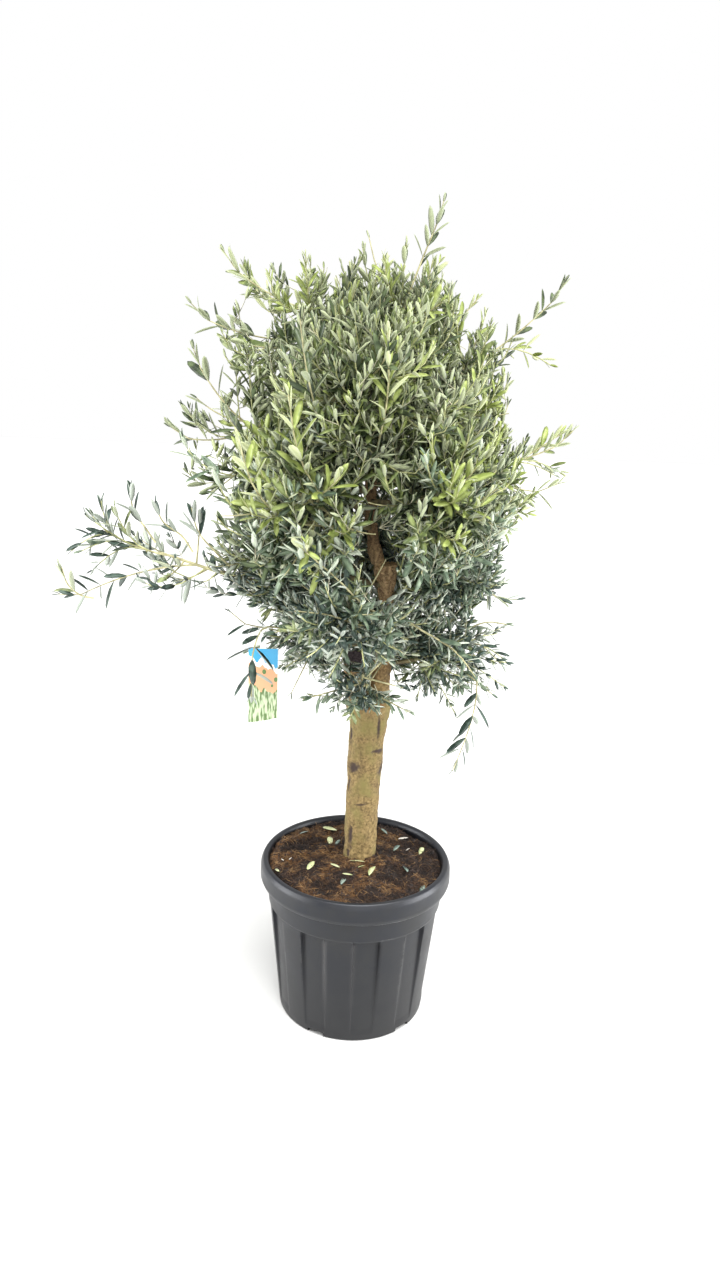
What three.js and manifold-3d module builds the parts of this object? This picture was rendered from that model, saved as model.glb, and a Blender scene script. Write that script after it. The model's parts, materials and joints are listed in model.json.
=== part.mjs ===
// A potted olive tree: a trunk cut back to a head, a kinked leader, thin boughs, and a loose crown of
// long leafy shoots, standing in a fluted nursery pot.
// Millimetres, +Z up. The origin is the middle of the pot's flat underside, and -Y is the front.
import * as THREE from "three";
import { mergeVertices } from "three/addons/utils/BufferGeometryUtils.js";
import Module from "manifold-3d";

const wasm = await Module();
wasm.setup();

// ---------------------------------------------------------------- driving dimensions

const GAP = 0.3; // clear space between neighbouring solids
const DEG = Math.PI / 180;

const POT = {
  height: 340,
  rimRadius: 200,
  lipHeight: 46, // the rolled lip hangs this far down
  neckRadius: 186, // the collar's wall just under the lip
  shoulder: 250, // the height of the ledge where the collar ends and the flutes start
  shoulderRadius: 180,
  footRadius: 155,
  footRound: 3,
  fluteCount: 10, // each flute is followed by as wide a stretch of plain wall
  fluteFoot: 16,
  fluteDepthTop: 5,
  fluteDepthFoot: 2,
  collarRadius: 181, // the inner face above the shoulder
  wall: 8,
  baseUnderside: 7, // the base plate is raised off the ground by this
  baseThickness: 4,
  bossRadius: 50, // the middle of the base still stands on the ground
  standWidth: 20, // and so does a ring inside the foot
  notchCount: 5,
  notchWidth: 36,
  notchTurn: 45, // the first notch, in degrees round from the front
  drainRadius: 6,
  drainCircle: 112,
};

const SOIL = { edge: 324, mound: 331, flatRadius: 62 };

const TRUNK = {
  foot: new THREE.Vector3(7, 0, SOIL.mound + GAP),
  head: new THREE.Vector3(13, 0, 682),
  footRadius: 33,
  headRadius: 36,
  flare: 6, // how far the root flare swells the foot
  flareHeight: 40,
  headSwell: 6, // the collar under the leader
  headHeight: 60,
  sides: 18,
  steps: 12,
};
// Old pruning knots: how far round from the front, height, width and swell.
const KNOTS = [
  { turn: -75, height: 558, width: 26, swell: 2 },
  { turn: 70, height: 560, width: 24, swell: 4 },
  { turn: 62, height: 640, width: 40, swell: 5 },
  { turn: 170, height: 480, width: 30, swell: 5 },
  { turn: -20, height: 672, width: 26, swell: 3 },
];

const LEADER = {
  // the lower length runs up to an old pruning knob, and the upper one carries on from its left
  lower: [
    [35, 2, 682],
    [36, 2, 760],
    [42, 0, 870],
    [34, 2, 968],
  ],
  lowerRadii: [21, 13, 24], // foot, waist, knob
  upper: [
    [20, 3, 968],
    [6, 4, 1030],
    [0, 6, 1110],
    [8, 8, 1215],
  ],
  upperRadii: [15, 7],
};
const STUB = { foot: [-6, 4, 682], top: [-22, -10, 792], radii: [24, 19], cutTilt: 40 };

const HEAD_SPRIG = [6, -26, 0]; // where the one bough of limb "head" rises from the trunk's cut head
const BOUGH = { sides: 5, steps: 3, leastShare: 0.56, bow: 0.06, tipRadius: 3.8 };
const STEM = { radius: 3.4, tipRadius: 2.6, steps: 2 };
const SHOOT = { radius: 2.1, tipRadius: 1.7 };
const LEAF = { length: 108, width: 36, thickness: 1.6, spread: 40 };
const CLEAR = 1.2; // the least space between a leaf or twig and a limb
const CELL_MARGIN = 0.8; // each mass stops this far short of the face that it shares with the next

// Each mass of foliage: its middle, its half sizes out to the leaf tips, the limb and the height that
// its bough springs from, how many shoots it has, and how they bow (upwards at their ends when positive).
// tips are single long shoots that stand out of the mass: where each ends, how it bows or the point
// that bends it, and its place along the stem.
const MASSES = [
  {
    name: "top_left",
    middle: [-112, -15, 1402],
    half: [172, 145, 142],
    limb: "upper",
    from: 1150,
    shoots: 5,
    bow: 0.15,
    tips: [
      { end: [-252, -20, 1488], bow: 0.12, at: 0.9 },
      { end: [-306, -15, 1404], bow: 0.15, at: 0.6 },
    ],
  },
  {
    name: "top_centre",
    middle: [40, -20, 1405],
    half: [130, 130, 138],
    limb: "upper",
    from: 1205,
    shoots: 5,
    bow: 0.1,
    tips: [
      { end: [98, 0, 1580], bow: -0.05, at: 0.9 },
      { end: [-10, -10, 1515], bow: 0.05, at: 0.75 },
    ],
  },
  {
    name: "top_right",
    middle: [145, 20, 1315],
    half: [125, 140, 140],
    limb: "upper",
    from: 1170,
    shoots: 5,
    bow: 0.15,
    tips: [{ end: [312, 0, 1458], bow: 0.1, at: 0.9 }],
  },
  {
    name: "top_back",
    middle: [5, 165, 1360],
    half: [190, 135, 165],
    limb: "upper",
    from: 1185,
    shoots: 5,
    bow: 0.15,
    tips: [],
  },
  {
    name: "top_front",
    middle: [-10, -170, 1300],
    half: [180, 125, 155],
    limb: "upper",
    from: 1165,
    shoots: 6,
    bow: 0.15,
    tips: [],
  },
  {
    name: "upper_left",
    middle: [-220, 0, 1210],
    half: [150, 150, 155],
    limb: "upper",
    from: 1060,
    shoots: 4,
    bow: 0.15,
    tips: [
      { end: [-318, -10, 1318], bow: 0.15, at: 0.9 },
      { end: [-345, 0, 1192], bow: 0.15, at: 0.75 },
    ],
  },
  {
    name: "front_left",
    middle: [-105, -180, 1110],
    half: [160, 130, 150],
    limb: "upper",
    from: 1035,
    shoots: 6,
    bow: 0.15,
    tips: [],
  },
  {
    name: "front_right",
    middle: [115, -175, 1130],
    half: [150, 130, 145],
    limb: "upper",
    from: 1085,
    shoots: 6,
    bow: 0.15,
    tips: [],
  },
  {
    name: "upper_right",
    middle: [190, 0, 1150],
    half: [120, 150, 135],
    limb: "upper",
    from: 1055,
    shoots: 5,
    bow: 0.15,
    tips: [
      { end: [345, 0, 1205], bow: 0.1, at: 0.9 },
      { end: [312, -30, 1122], bow: 0.12, at: 0.75 },
    ],
  },
  {
    name: "back_left",
    middle: [-130, 175, 1160],
    half: [160, 130, 145],
    limb: "upper",
    from: 1100,
    shoots: 5,
    bow: 0.15,
    tips: [],
  },
  {
    name: "back_right",
    middle: [120, 175, 1140],
    half: [155, 130, 145],
    limb: "upper",
    from: 1115,
    shoots: 5,
    bow: 0.15,
    tips: [],
  },
  {
    name: "middle_left",
    middle: [-165, -25, 985],
    half: [145, 145, 125],
    limb: "lower",
    from: 925,
    shoots: 6,
    bow: 0.1,
    tips: [],
  },
  {
    name: "far_left",
    middle: [-362, -40, 972],
    half: [95, 75, 75],
    limb: "lower",
    from: 880,
    shoots: 3,
    bow: 0.08,
    tips: [
      { end: [-548, -45, 893], bow: -0.12, at: 0.45 },
      { end: [-490, -50, 1018], bow: 0.1, at: 0.9 },
    ],
  },
  {
    name: "middle_right",
    middle: [160, -15, 970],
    half: [125, 145, 125],
    limb: "lower",
    from: 900,
    shoots: 6,
    bow: 0.1,
    tips: [{ end: [262, 10, 905], bow: 0.1, at: 0.9 }],
  },
  {
    name: "middle_back",
    middle: [10, 165, 965],
    half: [170, 130, 130],
    limb: "lower",
    from: 915,
    shoots: 5,
    bow: 0.1,
    tips: [],
  },
  {
    name: "middle_front",
    middle: [-35, -155, 905],
    half: [145, 115, 110],
    limb: "lower",
    from: 850,
    shoots: 5,
    bow: 0.05,
    tips: [],
  },
  {
    name: "low_left",
    middle: [-115, -25, 825],
    half: [100, 120, 105],
    limb: "lower",
    from: 800,
    shoots: 6,
    bow: 0,
    tips: [{ end: [-224, -106, 866], bow: 0.02, at: 0.9, carriesLabel: true }],
  },
  {
    name: "low_right",
    middle: [150, -25, 800],
    half: [125, 125, 110],
    limb: "lower",
    from: 765,
    shoots: 5,
    bow: 0,
    tips: [{ end: [200, -30, 592], via: [262, -30, 790], at: 0.9 }],
  },
  {
    name: "low_front",
    middle: [0, -115, 765],
    half: [110, 90, 80],
    limb: "head",
    from: 680,
    shoots: 5,
    bow: 0,
    tips: [],
  },
  {
    name: "low_back",
    middle: [25, 125, 790],
    half: [135, 115, 115],
    limb: "lower",
    from: 735,
    shoots: 5,
    bow: 0,
    tips: [],
  },
];
const FULL_SHOOT = { pairs: 3, firstPair: 0.25, leafSize: 1, steps: 1, reach: 0.74 };
const LONG_SHOOT = { pairs: 3, firstPair: 0.35, leafSize: 0.6, steps: 3 };

// Gaps in the foliage, in front, through which the leader and the stub show: a point on the limb, the
// rise of the gap for each millimetre that it runs forward, and its radius.
const WINDOWS = [
  { at: [34, 0, 930], rise: 0.22, radius: 25 },
  { at: [22, 0, 972], rise: 0.2, radius: 27 },
  { at: [6, 0, 1020], rise: 0.17, radius: 21 },
  { at: [38, 0, 735], rise: 0.33, radius: 24 },
  { at: [-18, 0, 782], rise: 0.3, radius: 20 },
];

const LABEL = {
  width: 56,
  height: 146,
  corner: 8,
  neckWidth: 12,
  neckLength: 24,
  ringRadius: 11,
  holeRadius: 7,
  thickness: 1,
  y: -78, // it hangs where its twig reaches this far forward
};

// ---------------------------------------------------------------- solids and geometry

const UP = new THREE.Vector3(0, 0, 1);
const vec = (p) => new THREE.Vector3(...p);

/** A closed geometry as a solid that can be joined and cut. */
function solidOf(geometry) {
  const bare = new THREE.BufferGeometry()
    .setAttribute("position", geometry.getAttribute("position"))
    .setIndex(geometry.index);
  const merged = mergeVertices(bare, 1e-4);
  const mesh = new wasm.Mesh({
    numProp: 3,
    vertProperties: merged.attributes.position.array,
    triVerts: new Uint32Array(merged.index.array),
  });
  return new wasm.Manifold(mesh);
}

/** The largest body of a solid, so that scraps are dropped and sealed hollows are filled. */
function mainBody(solid) {
  return solid.decompose().reduce((a, b) => (b.volume() > a.volume() ? b : a));
}

function geometryOf(solid) {
  const mesh = solid.getMesh();
  return new THREE.BufferGeometry()
    .setAttribute("position", new THREE.BufferAttribute(mesh.vertProperties, 3))
    .setIndex(new THREE.BufferAttribute(mesh.triVerts, 1));
}

/** The way that a turn of 0 points on a limb: level, and square to the line between its ends. */
function sideOf(from, to) {
  const side = to.clone().sub(from).cross(UP);
  return side.length() < 0.2 * from.distanceTo(to) ? new THREE.Vector3(0, 1, 0) : side.normalize();
}

/**
 * A tapering limb along a curve: a closed cylinder whose rings are square to the curve, or to the
 * directions in squareTo: all for every ring, first and last for the end ones.
 * radiusAt(share, turn) is the radius at a share of the length and an angle round the limb.
 */
function limbGeometry(curve, radiusAt, sides, steps, squareTo = {}) {
  const geometry = new THREE.CylinderGeometry(1, 1, 1, sides, steps);
  const place = geometry.attributes.position;
  const points = curve.getSpacedPoints(steps);
  const level = sideOf(points[0], points[steps]);
  const rings = points.map((point, i) => {
    const ends = i === 0 ? squareTo.first : i === steps && squareTo.last;
    const run = points[Math.min(i + 1, steps)].clone().sub(points[Math.max(i - 1, 0)]);
    const axis = squareTo.all || ends || run.normalize();
    const side = level.clone().addScaledVector(axis, -level.dot(axis)).normalize();
    return { point, side, over: axis.clone().cross(side) };
  });
  for (let i = 0; i < place.count; i++) {
    const share = place.getY(i) + 0.5;
    const { point, side, over } = rings[Math.round(share * steps)];
    const turn = Math.atan2(place.getX(i), place.getZ(i));
    // The middle of an end cap has turn 0 and goes to the rim, so that the cap is a fan from there.
    const reach = radiusAt(share, turn);
    const p = point
      .clone()
      .addScaledVector(side, reach * Math.cos(turn))
      .addScaledVector(over, reach * Math.sin(turn));
    place.setXYZ(i, p.x, p.y, p.z);
  }
  return geometry;
}

const taper = (from, to, grow = 0) => (share) => from + (to - from) * share + grow;

/** A curve from a to b whose middle is pulled down by bow times its length, so that its end turns up. */
function bowed(a, b, bow) {
  const control = a.clone().lerp(b, 0.5);
  control.z -= bow * a.distanceTo(b);
  return new THREE.QuadraticBezierCurve3(a, control, b);
}

// ---------------------------------------------------------------- pot, soil and label

/** The radius of the tapering wall, before its flutes are sunk. */
const wallRadius = (z) =>
  THREE.MathUtils.mapLinear(z, 0, POT.shoulder, POT.footRadius, POT.shoulderRadius);

// Angles of one flute and the plain wall after it, as shares of the pair.
const FLUTE_STEPS = [0, 0.055, 0.445, 0.5, 0.75];
const fluteAngleOf = (i) => {
  const pair = Math.floor(i / FLUTE_STEPS.length);
  return (pair + FLUTE_STEPS[i % FLUTE_STEPS.length]) * (360 / POT.fluteCount) * DEG;
};

/** Turns a profile of [radius, height] about Z. sunkAt(height) is how deep a flute is there. */
function turned(profile, sunkAt = () => 0) {
  const count = POT.fluteCount * FLUTE_STEPS.length;
  const points = profile.map(([r, z]) => new THREE.Vector2(r, z));
  const geometry = new THREE.LatheGeometry(points, count);
  const place = geometry.attributes.position;
  for (let i = 0; i < place.count; i++) {
    const column = Math.floor(i / profile.length) % count;
    const [r, z] = profile[i % profile.length];
    const inFlute = [1, 2].includes(column % FLUTE_STEPS.length);
    const reach = r - (inFlute ? sunkAt(z, r) : 0);
    const angle = fluteAngleOf(column);
    place.setXYZ(i, reach * Math.sin(angle), -reach * Math.cos(angle), z);
  }
  return geometry;
}

/** The inner face of the pot, from its floor up to the given height, less a gap. */
function innerProfile(top, gap) {
  const floor = POT.baseUnderside + POT.baseThickness + gap;
  return [
    [wallRadius(floor) - POT.wall - gap, floor],
    [wallRadius(POT.shoulder) - POT.wall - gap, POT.shoulder - 4],
    [POT.collarRadius - gap, POT.shoulder + 4],
    [POT.collarRadius - gap, top],
  ];
}

function potSolid() {
  const { height, rimRadius, neckRadius, shoulder, shoulderRadius, footRadius, fluteFoot } = POT;
  const { baseUnderside, bossRadius, footRound } = POT;
  const lipFoot = height - POT.lipHeight;
  const fluteHead = shoulder - 4;
  const standRadius = footRadius - footRound - POT.standWidth;
  const outside = [
    [0, 0],
    [bossRadius, 0],
    [bossRadius + 4, baseUnderside],
    [standRadius - 4, baseUnderside],
    [standRadius, 0],
    [footRadius - footRound, 0],
    [footRadius, footRound],
    [wallRadius(fluteFoot), fluteFoot],
    [wallRadius(fluteHead), fluteHead],
    [shoulderRadius + 2, shoulder],
    [neckRadius, lipFoot],
    [rimRadius - 4, lipFoot],
    [rimRadius, lipFoot + 10],
    [rimRadius - 1, height - 7],
    [rimRadius - 6, height],
    [neckRadius + 2, height],
  ];
  const inside = innerProfile(height - 4, 0).reverse();
  const floor = [0, baseUnderside + POT.baseThickness];
  const sunkAt = (z, r) => {
    const fluted = z >= fluteFoot && z <= fluteHead && r > wallRadius(z) - 1;
    const share = (z - fluteFoot) / (fluteHead - fluteFoot);
    return fluted ? taper(POT.fluteDepthFoot, POT.fluteDepthTop)(share) : 0;
  };
  let pot = solidOf(turned([...outside, ...inside, floor], sunkAt));
  for (let i = 0; i < POT.notchCount; i++) {
    const angle = (POT.notchTurn + (i * 360) / POT.notchCount) * DEG;
    const notch = new THREE.BoxGeometry(POT.notchWidth, 4 * POT.standWidth, 2 * baseUnderside);
    const drain = new THREE.CylinderGeometry(POT.drainRadius, POT.drainRadius, 40, 6);
    notch.translate(0, -footRadius, 0).rotateZ(angle);
    drain.rotateX(90 * DEG).translate(0, -POT.drainCircle, 0).rotateZ(angle);
    pot = pot.subtract(solidOf(notch)).subtract(solidOf(drain));
  }
  return pot;
}

function soilSolid() {
  const sides = innerProfile(SOIL.edge, GAP);
  const floor = [0, sides[0][1]];
  const top = [
    [150, SOIL.edge + 1],
    [SOIL.flatRadius, SOIL.mound],
    [0, SOIL.mound],
  ];
  return solidOf(turned([floor, ...sides, ...top]));
}

/** A hang label in the XZ plane: a film with a neck, and a punched ring that hangs on a twig. */
function labelSolid(twig) {
  const half = LABEL.width / 2;
  const ring = twig.z + SHOOT.radius + GAP - LABEL.holeRadius;
  const top = ring - LABEL.ringRadius - LABEL.neckLength;
  const foot = top - LABEL.height;
  const join = 55 * DEG; // where the neck meets the ring, round from straight down
  const neck = LABEL.neckWidth / 2;
  const shape = new THREE.Shape();
  shape.moveTo(-half, foot);
  shape.lineTo(half, foot);
  shape.lineTo(half, top - LABEL.corner);
  shape.lineTo(half - LABEL.corner, top);
  shape.lineTo(neck, top);
  shape.absarc(0, ring, LABEL.ringRadius, join - 90 * DEG, 270 * DEG - join, false);
  shape.lineTo(-neck, top);
  shape.lineTo(LABEL.corner - half, top);
  shape.lineTo(-half, top - LABEL.corner);
  const hole = new THREE.Path();
  hole.absarc(0, ring, LABEL.holeRadius, 0, 360 * DEG, true);
  shape.holes.push(hole);
  const film = new THREE.ExtrudeGeometry(shape, {
    depth: LABEL.thickness,
    bevelEnabled: false,
    curveSegments: 6,
  });
  film.translate(0, 0, -LABEL.thickness / 2).rotateX(90 * DEG);
  return solidOf(film.translate(twig.x, twig.y, 0));
}

// ---------------------------------------------------------------- trunk, leader and stub

/** How far the knots swell the trunk at a height and an angle round from the front. */
function knotSwell(z, turn) {
  return KNOTS.reduce((sum, knot) => {
    const away = Math.abs(THREE.MathUtils.euclideanModulo(turn / DEG - knot.turn + 180, 360) - 180);
    const across = (away * DEG * TRUNK.headRadius) / knot.width;
    const along = (z - knot.height) / knot.width;
    return sum + knot.swell * Math.exp(-3 * (across * across + along * along));
  }, 0);
}

function trunkRadius(share, turn) {
  const z = TRUNK.foot.z + share * (TRUNK.head.z - TRUNK.foot.z);
  const flare = TRUNK.flare * Math.exp((-3 * (z - TRUNK.foot.z)) / TRUNK.flareHeight);
  const toLeader = Math.max(Math.cos(turn - 90 * DEG), 0);
  const head = TRUNK.headSwell * Math.exp((-2 * (TRUNK.head.z - z)) / TRUNK.headHeight) * toLeader;
  const plain = taper(TRUNK.footRadius, TRUNK.headRadius)(share);
  return plain + flare * (0.7 + 0.3 * Math.cos(3 * turn)) + head + knotSwell(z, turn);
}

function trunkSolid() {
  // Turns on an upright limb count from +Y, and the trunk's own turns count from the front.
  const line = new THREE.LineCurve3(TRUNK.foot, TRUNK.head);
  const radiusAt = (share, turn) => trunkRadius(share, turn + Math.PI);
  return solidOf(limbGeometry(line, radiusAt, TRUNK.sides, TRUNK.steps, { all: UP }));
}

const lowerCurve = new THREE.CatmullRomCurve3(LEADER.lower.map(vec), false, "centripetal");
const upperCurve = new THREE.CatmullRomCurve3(LEADER.upper.map(vec), false, "centripetal");
const [footR, waistR, knobR] = LEADER.lowerRadii;
const lowerRadius = (share) => {
  const knob = (knobR - waistR) * Math.exp(-Math.pow((share - 1) / 0.13, 2));
  return waistR + (footR - waistR) * Math.pow(1 - share, 1.6) + knob;
};
const upperRadius = taper(...LEADER.upperRadii);

/** A limb's solid, and with grow, the space that its neighbours keep out of. */
function leaderSolid(part, grow = 0) {
  const [curve, radius] = part === "lower" ? [lowerCurve, lowerRadius] : [upperCurve, upperRadius];
  return solidOf(limbGeometry(curve, (share) => radius(share) + grow, 10, 7));
}

function stubSolid(grow = 0) {
  const line = new THREE.LineCurve3(vec(STUB.foot), vec(STUB.top));
  const stub = solidOf(limbGeometry(line, taper(...STUB.radii, grow), 12, 3));
  const saw = new THREE.BoxGeometry(120, 120, 60).translate(0, 0, 30);
  saw.rotateX(STUB.cutTilt * DEG).translate(STUB.top[0], STUB.top[1], STUB.top[2] - 18);
  const floor = new THREE.BoxGeometry(200, 200, 60).translate(0, 0, TRUNK.head.z + GAP - 30);
  return stub.subtract(solidOf(saw)).subtract(solidOf(floor));
}

// ---------------------------------------------------------------- growth

/** A small repeatable random source, from 0 to 1. */
function randomFrom(seed) {
  let state = seed >>> 0;
  return () => {
    state = (state + 0x6d2b79f5) >>> 0;
    let t = Math.imul(state ^ (state >>> 15), state | 1);
    t ^= t + Math.imul(t ^ (t >>> 7), t | 61);
    return ((t ^ (t >>> 14)) >>> 0) / 4294967296;
  };
}

/** Where a bough springs from, inside its limb. */
function originOf(mass) {
  if (mass.limb === "head") return vec(HEAD_SPRIG).setZ(mass.from);
  const curve = mass.limb === "lower" ? lowerCurve : upperCurve;
  let share = 0;
  while (share < 1 && curve.getPointAt(share).z < mass.from) share += 0.01;
  return curve.getPointAt(Math.min(share, 1));
}

/** Whether a point is on the mass's own side of every face that it shares with another mass. */
function inCell(point, mass, margin) {
  const own = vec(mass.middle);
  return MASSES.every((other) => {
    if (other === mass) return true;
    const towards = vec(other.middle).sub(own);
    const face = towards.length() / 2;
    return point.clone().sub(own).dot(towards.normalize()) < face - margin;
  });
}

/**
 * The way from its limb to the heart of a mass: the bough, which ends where it has entered the space of
 * the mass, and then the stem that goes on from its tip.
 */
function routeOf(mass) {
  const middle = vec(mass.middle);
  const whole = bowed(originOf(mass), middle, BOUGH.bow);
  let share = BOUGH.leastShare;
  while (share < 0.9 && !inCell(whole.getPointAt(share), mass, 3 * STEM.radius)) share += 0.02;
  const cut = (from, to, n) =>
    Array.from({ length: n + 1 }, (_, i) => whole.getPointAt(from + ((to - from) * i) / n));
  const bough = new THREE.CatmullRomCurve3(cut(0, share, 4));
  const [tip, ...onward] = cut(share, 1, 2);
  const joint = whole.getTangentAt(share);
  tip.addScaledVector(joint, GAP);
  const end = whole.getTangentAt(1).multiplyScalar(0.3 * Math.min(...mass.half)).add(middle);
  const stem = new THREE.CatmullRomCurve3([tip, ...onward, end]);
  const radius = THREE.MathUtils.clamp(3.4 + bough.getLength() / 40, 4.6, 8);
  return { bough, stem, radius, joint };
}

/** How far out a point is, where 1 is the outside of the mass. */
const depthIn = (point, mass) => point.clone().sub(vec(mass.middle)).divide(vec(mass.half)).length();

/** Where the shoots of a mass end: spread evenly inside its outside, less the side it is fed from. */
function shootEnds(mass, stem, random) {
  const fed = stem.getPointAt(0).sub(vec(mass.middle)).normalize();
  const golden = Math.PI * (3 - Math.sqrt(5));
  const count = Math.ceil(mass.shoots * 1.25);
  const ends = [];
  for (let i = 0; i < count; i++) {
    const z = 1 - (2 * (i + 0.5)) / count;
    const turn = i * golden + random() * 0.5;
    const flat = Math.sqrt(1 - z * z);
    const way = new THREE.Vector3(flat * Math.cos(turn), flat * Math.sin(turn), z);
    const reach = FULL_SHOOT.reach * (0.85 + 0.15 * random());
    if (way.dot(fed) > 0.7) continue;
    const out = way.clone().multiply(vec(mass.half)).multiplyScalar(reach);
    const fit = [1, 0.85, 0.7, 0.55].find((k) =>
      inCell(out.clone().multiplyScalar(k).add(vec(mass.middle)), mass, 12),
    );
    if (fit) ends.push(out.multiplyScalar(fit).add(vec(mass.middle)));
  }
  return ends;
}

/** Every shoot of a mass. The ends that lie furthest along the stem are fed from nearest its tip. */
function shootsOf(mass, stem) {
  const random = randomFrom(MASSES.indexOf(mass) + 1);
  const start = stem.getPointAt(0);
  const heading = stem.getPointAt(1).sub(start).normalize();
  const along = (end) => end.clone().sub(start).dot(heading);
  const ends = shootEnds(mass, stem, random).sort((a, b) => along(a) - along(b));
  const shoots = ends.map((end, i) => {
    const share = 0.15 + (0.83 * (i + 0.5)) / ends.length;
    return { curve: bowed(stem.getPointAt(share), end, mass.bow), ...FULL_SHOOT, spin: random() };
  });
  const tips = mass.tips.map(({ end, bow, via, at, carriesLabel }) => {
    const from = stem.getPointAt(at);
    const bent = via && new THREE.QuadraticBezierCurve3(from, vec(via), vec(end));
    const curve = bent ?? bowed(from, vec(end), bow);
    return { curve, ...LONG_SHOOT, spin: random(), long: true, label: carriesLabel };
  });
  return [...shoots, ...tips];
}

/** Where leaves spring from a shoot: pairs, each a third of a turn on, and one at its tip. */
function budsOf(shoot) {
  const buds = [];
  const facet = 60 * DEG; // the middle of a side of the three-sided twig
  for (let i = 0; i < shoot.pairs; i++) {
    const share = shoot.firstPair + ((0.94 - shoot.firstPair) * i) / shoot.pairs;
    const turn = facet + 120 * DEG * ((i + Math.floor(3 * shoot.spin)) % 3);
    buds.push({ share, turn }, { share: share + 0.02, turn: turn + 120 * DEG });
  }
  return [...buds, { share: 0.985, turn: facet, atTip: true }];
}

/** The point at a share of a shoot's straight stretches, and the way that its stretch runs. */
function pointOnShoot(shoot, share) {
  const joints = shoot.curve.getSpacedPoints(shoot.steps);
  const i = Math.min(Math.floor(share * shoot.steps), shoot.steps - 1);
  const way = joints[i + 1].clone().sub(joints[i]).normalize();
  return { base: joints[i].clone().lerp(joints[i + 1], share * shoot.steps - i), way };
}

/** One leaf: a tetrahedron drawn out to a keeled blade, widest at its middle. */
function leafAt(shoot, bud, size) {
  const { base, way: along } = pointOnShoot(shoot, bud.share);
  const level = sideOf(shoot.curve.getPointAt(0), shoot.curve.getPointAt(1));
  const out = level.addScaledVector(along, -level.dot(along)).normalize();
  out.applyAxisAngle(along, bud.turn);
  const open = bud.atTip ? 0 : LEAF.spread * DEG;
  const way = along.clone().multiplyScalar(Math.cos(open)).addScaledVector(out, Math.sin(open));
  const across = along.clone().cross(out);
  const length = LEAF.length * size;
  const blade = new THREE.TetrahedronGeometry(Math.sqrt(3)).rotateZ(45 * DEG);
  blade.scale((LEAF.width * size) / Math.sqrt(8), length / Math.sqrt(8), LEAF.thickness / 2);
  blade.translate(0, length / 2, -LEAF.thickness / 2);
  blade.applyMatrix4(new THREE.Matrix4().makeBasis(across, way, across.clone().cross(way)));
  blade.translate(base.x, base.y, base.z);
  const span = (share) => base.clone().addScaledVector(way, share * length);
  return { geometry: blade, from: span(0.15), to: span(1), half: (LEAF.width * size) / 2 };
}

/** The corners of a geometry. */
function cornersOf(geometry) {
  const place = geometry.attributes.position;
  return Array.from({ length: place.count }, (_, i) => new THREE.Vector3().fromBufferAttribute(place, i));
}

/** Whether the segment from a to b, with the given thickness, is clear of everything in a list. */
function isClear(a, b, thickness, obstacles) {
  const steps = Math.ceil(a.distanceTo(b) / 6);
  const samples = Array.from({ length: steps + 1 }, (_, k) => a.clone().lerp(b, k / steps));
  const nearest = new THREE.Vector3();
  return obstacles.every(({ points, radius }) => {
    const reach = radius + thickness + CLEAR;
    return points.slice(1).every((end, i) => {
      const piece = new THREE.Line3(points[i], end);
      return samples.every((p) => piece.closestPointToPoint(p, true, nearest).distanceTo(p) > reach);
    });
  });
}

/** The limbs, which twigs and leaves keep clear of. */
function limbObstacles(routes) {
  return [
    { points: [TRUNK.foot, TRUNK.head], radius: TRUNK.headRadius + TRUNK.headSwell },
    { points: lowerCurve.getSpacedPoints(12), radius: LEADER.lowerRadii[0] },
    { points: upperCurve.getSpacedPoints(8), radius: LEADER.upperRadii[0] },
    { points: [vec(STUB.foot), vec(STUB.top)], radius: STUB.radii[0] },
    ...routes.map((route) => ({ points: route.bough.getSpacedPoints(8), radius: route.radius, route })),
  ];
}

/** The gaps, which leaves alone keep clear of. */
function windowObstacles() {
  return WINDOWS.map(({ at, rise, radius }) => {
    const front = vec(at).add(new THREE.Vector3(0, -1, rise).multiplyScalar(360));
    return { points: [vec(at), front], radius };
  });
}

/** Grows one mass: its stem, the shoots that fit its space, and their leaves, joined into one body. */
function massSolid(mass, route, limbs, windows, labelBox) {
  const inSpace = (geometry, long) =>
    cornersOf(geometry).every((p) => inCell(p, mass, CELL_MARGIN) && (long || depthIn(p, mass) < 1.05));
  const meetsLabel = (geometry) => {
    geometry.computeBoundingBox();
    return geometry.boundingBox.intersectsBox(labelBox);
  };
  const others = limbs.filter((limb) => limb.route !== route);
  const grown = [];
  const stemRadius = taper(STEM.radius, STEM.tipRadius);
  const stem = limbGeometry(route.stem, stemRadius, 3, STEM.steps, { first: route.joint });
  let solid = solidOf(stem);
  let leaves = 0;
  for (const shoot of shootsOf(mass, route.stem)) {
    const twig = limbGeometry(shoot.curve, taper(SHOOT.radius, SHOOT.tipRadius), 3, shoot.steps);
    const line = shoot.curve.getSpacedPoints(6);
    const free = line.slice(1).every((p, i) => isClear(line[i], p, SHOOT.radius, others));
    if (!free || !inSpace(twig, shoot.long) || (meetsLabel(twig) && !shoot.label)) continue;
    solid = solid.add(solidOf(twig));
    for (const bud of budsOf(shoot)) {
      const sizes = [1, 0.8, 0.62].map((k) => k * shoot.leafSize);
      const leaf = sizes
        .map((size) => leafAt(shoot, bud, size))
        .find(
          ({ geometry, from, to, half }) =>
            inSpace(geometry, shoot.long) &&
            !meetsLabel(geometry) &&
            isClear(from, to, half, limbs) &&
            isClear(from, to, half, windows) &&
            isClear(from, to, 0, grown),
        );
      if (!leaf) continue;
      solid = solid.add(solidOf(leaf.geometry));
      grown.push({ points: [leaf.from, leaf.to], radius: 5 });
      leaves++;
    }
    grown.push({ points: line.slice(2), radius: SHOOT.radius });
  }
  return { solid: mainBody(solid), leaves };
}

// ---------------------------------------------------------------- materials and assembly

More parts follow.
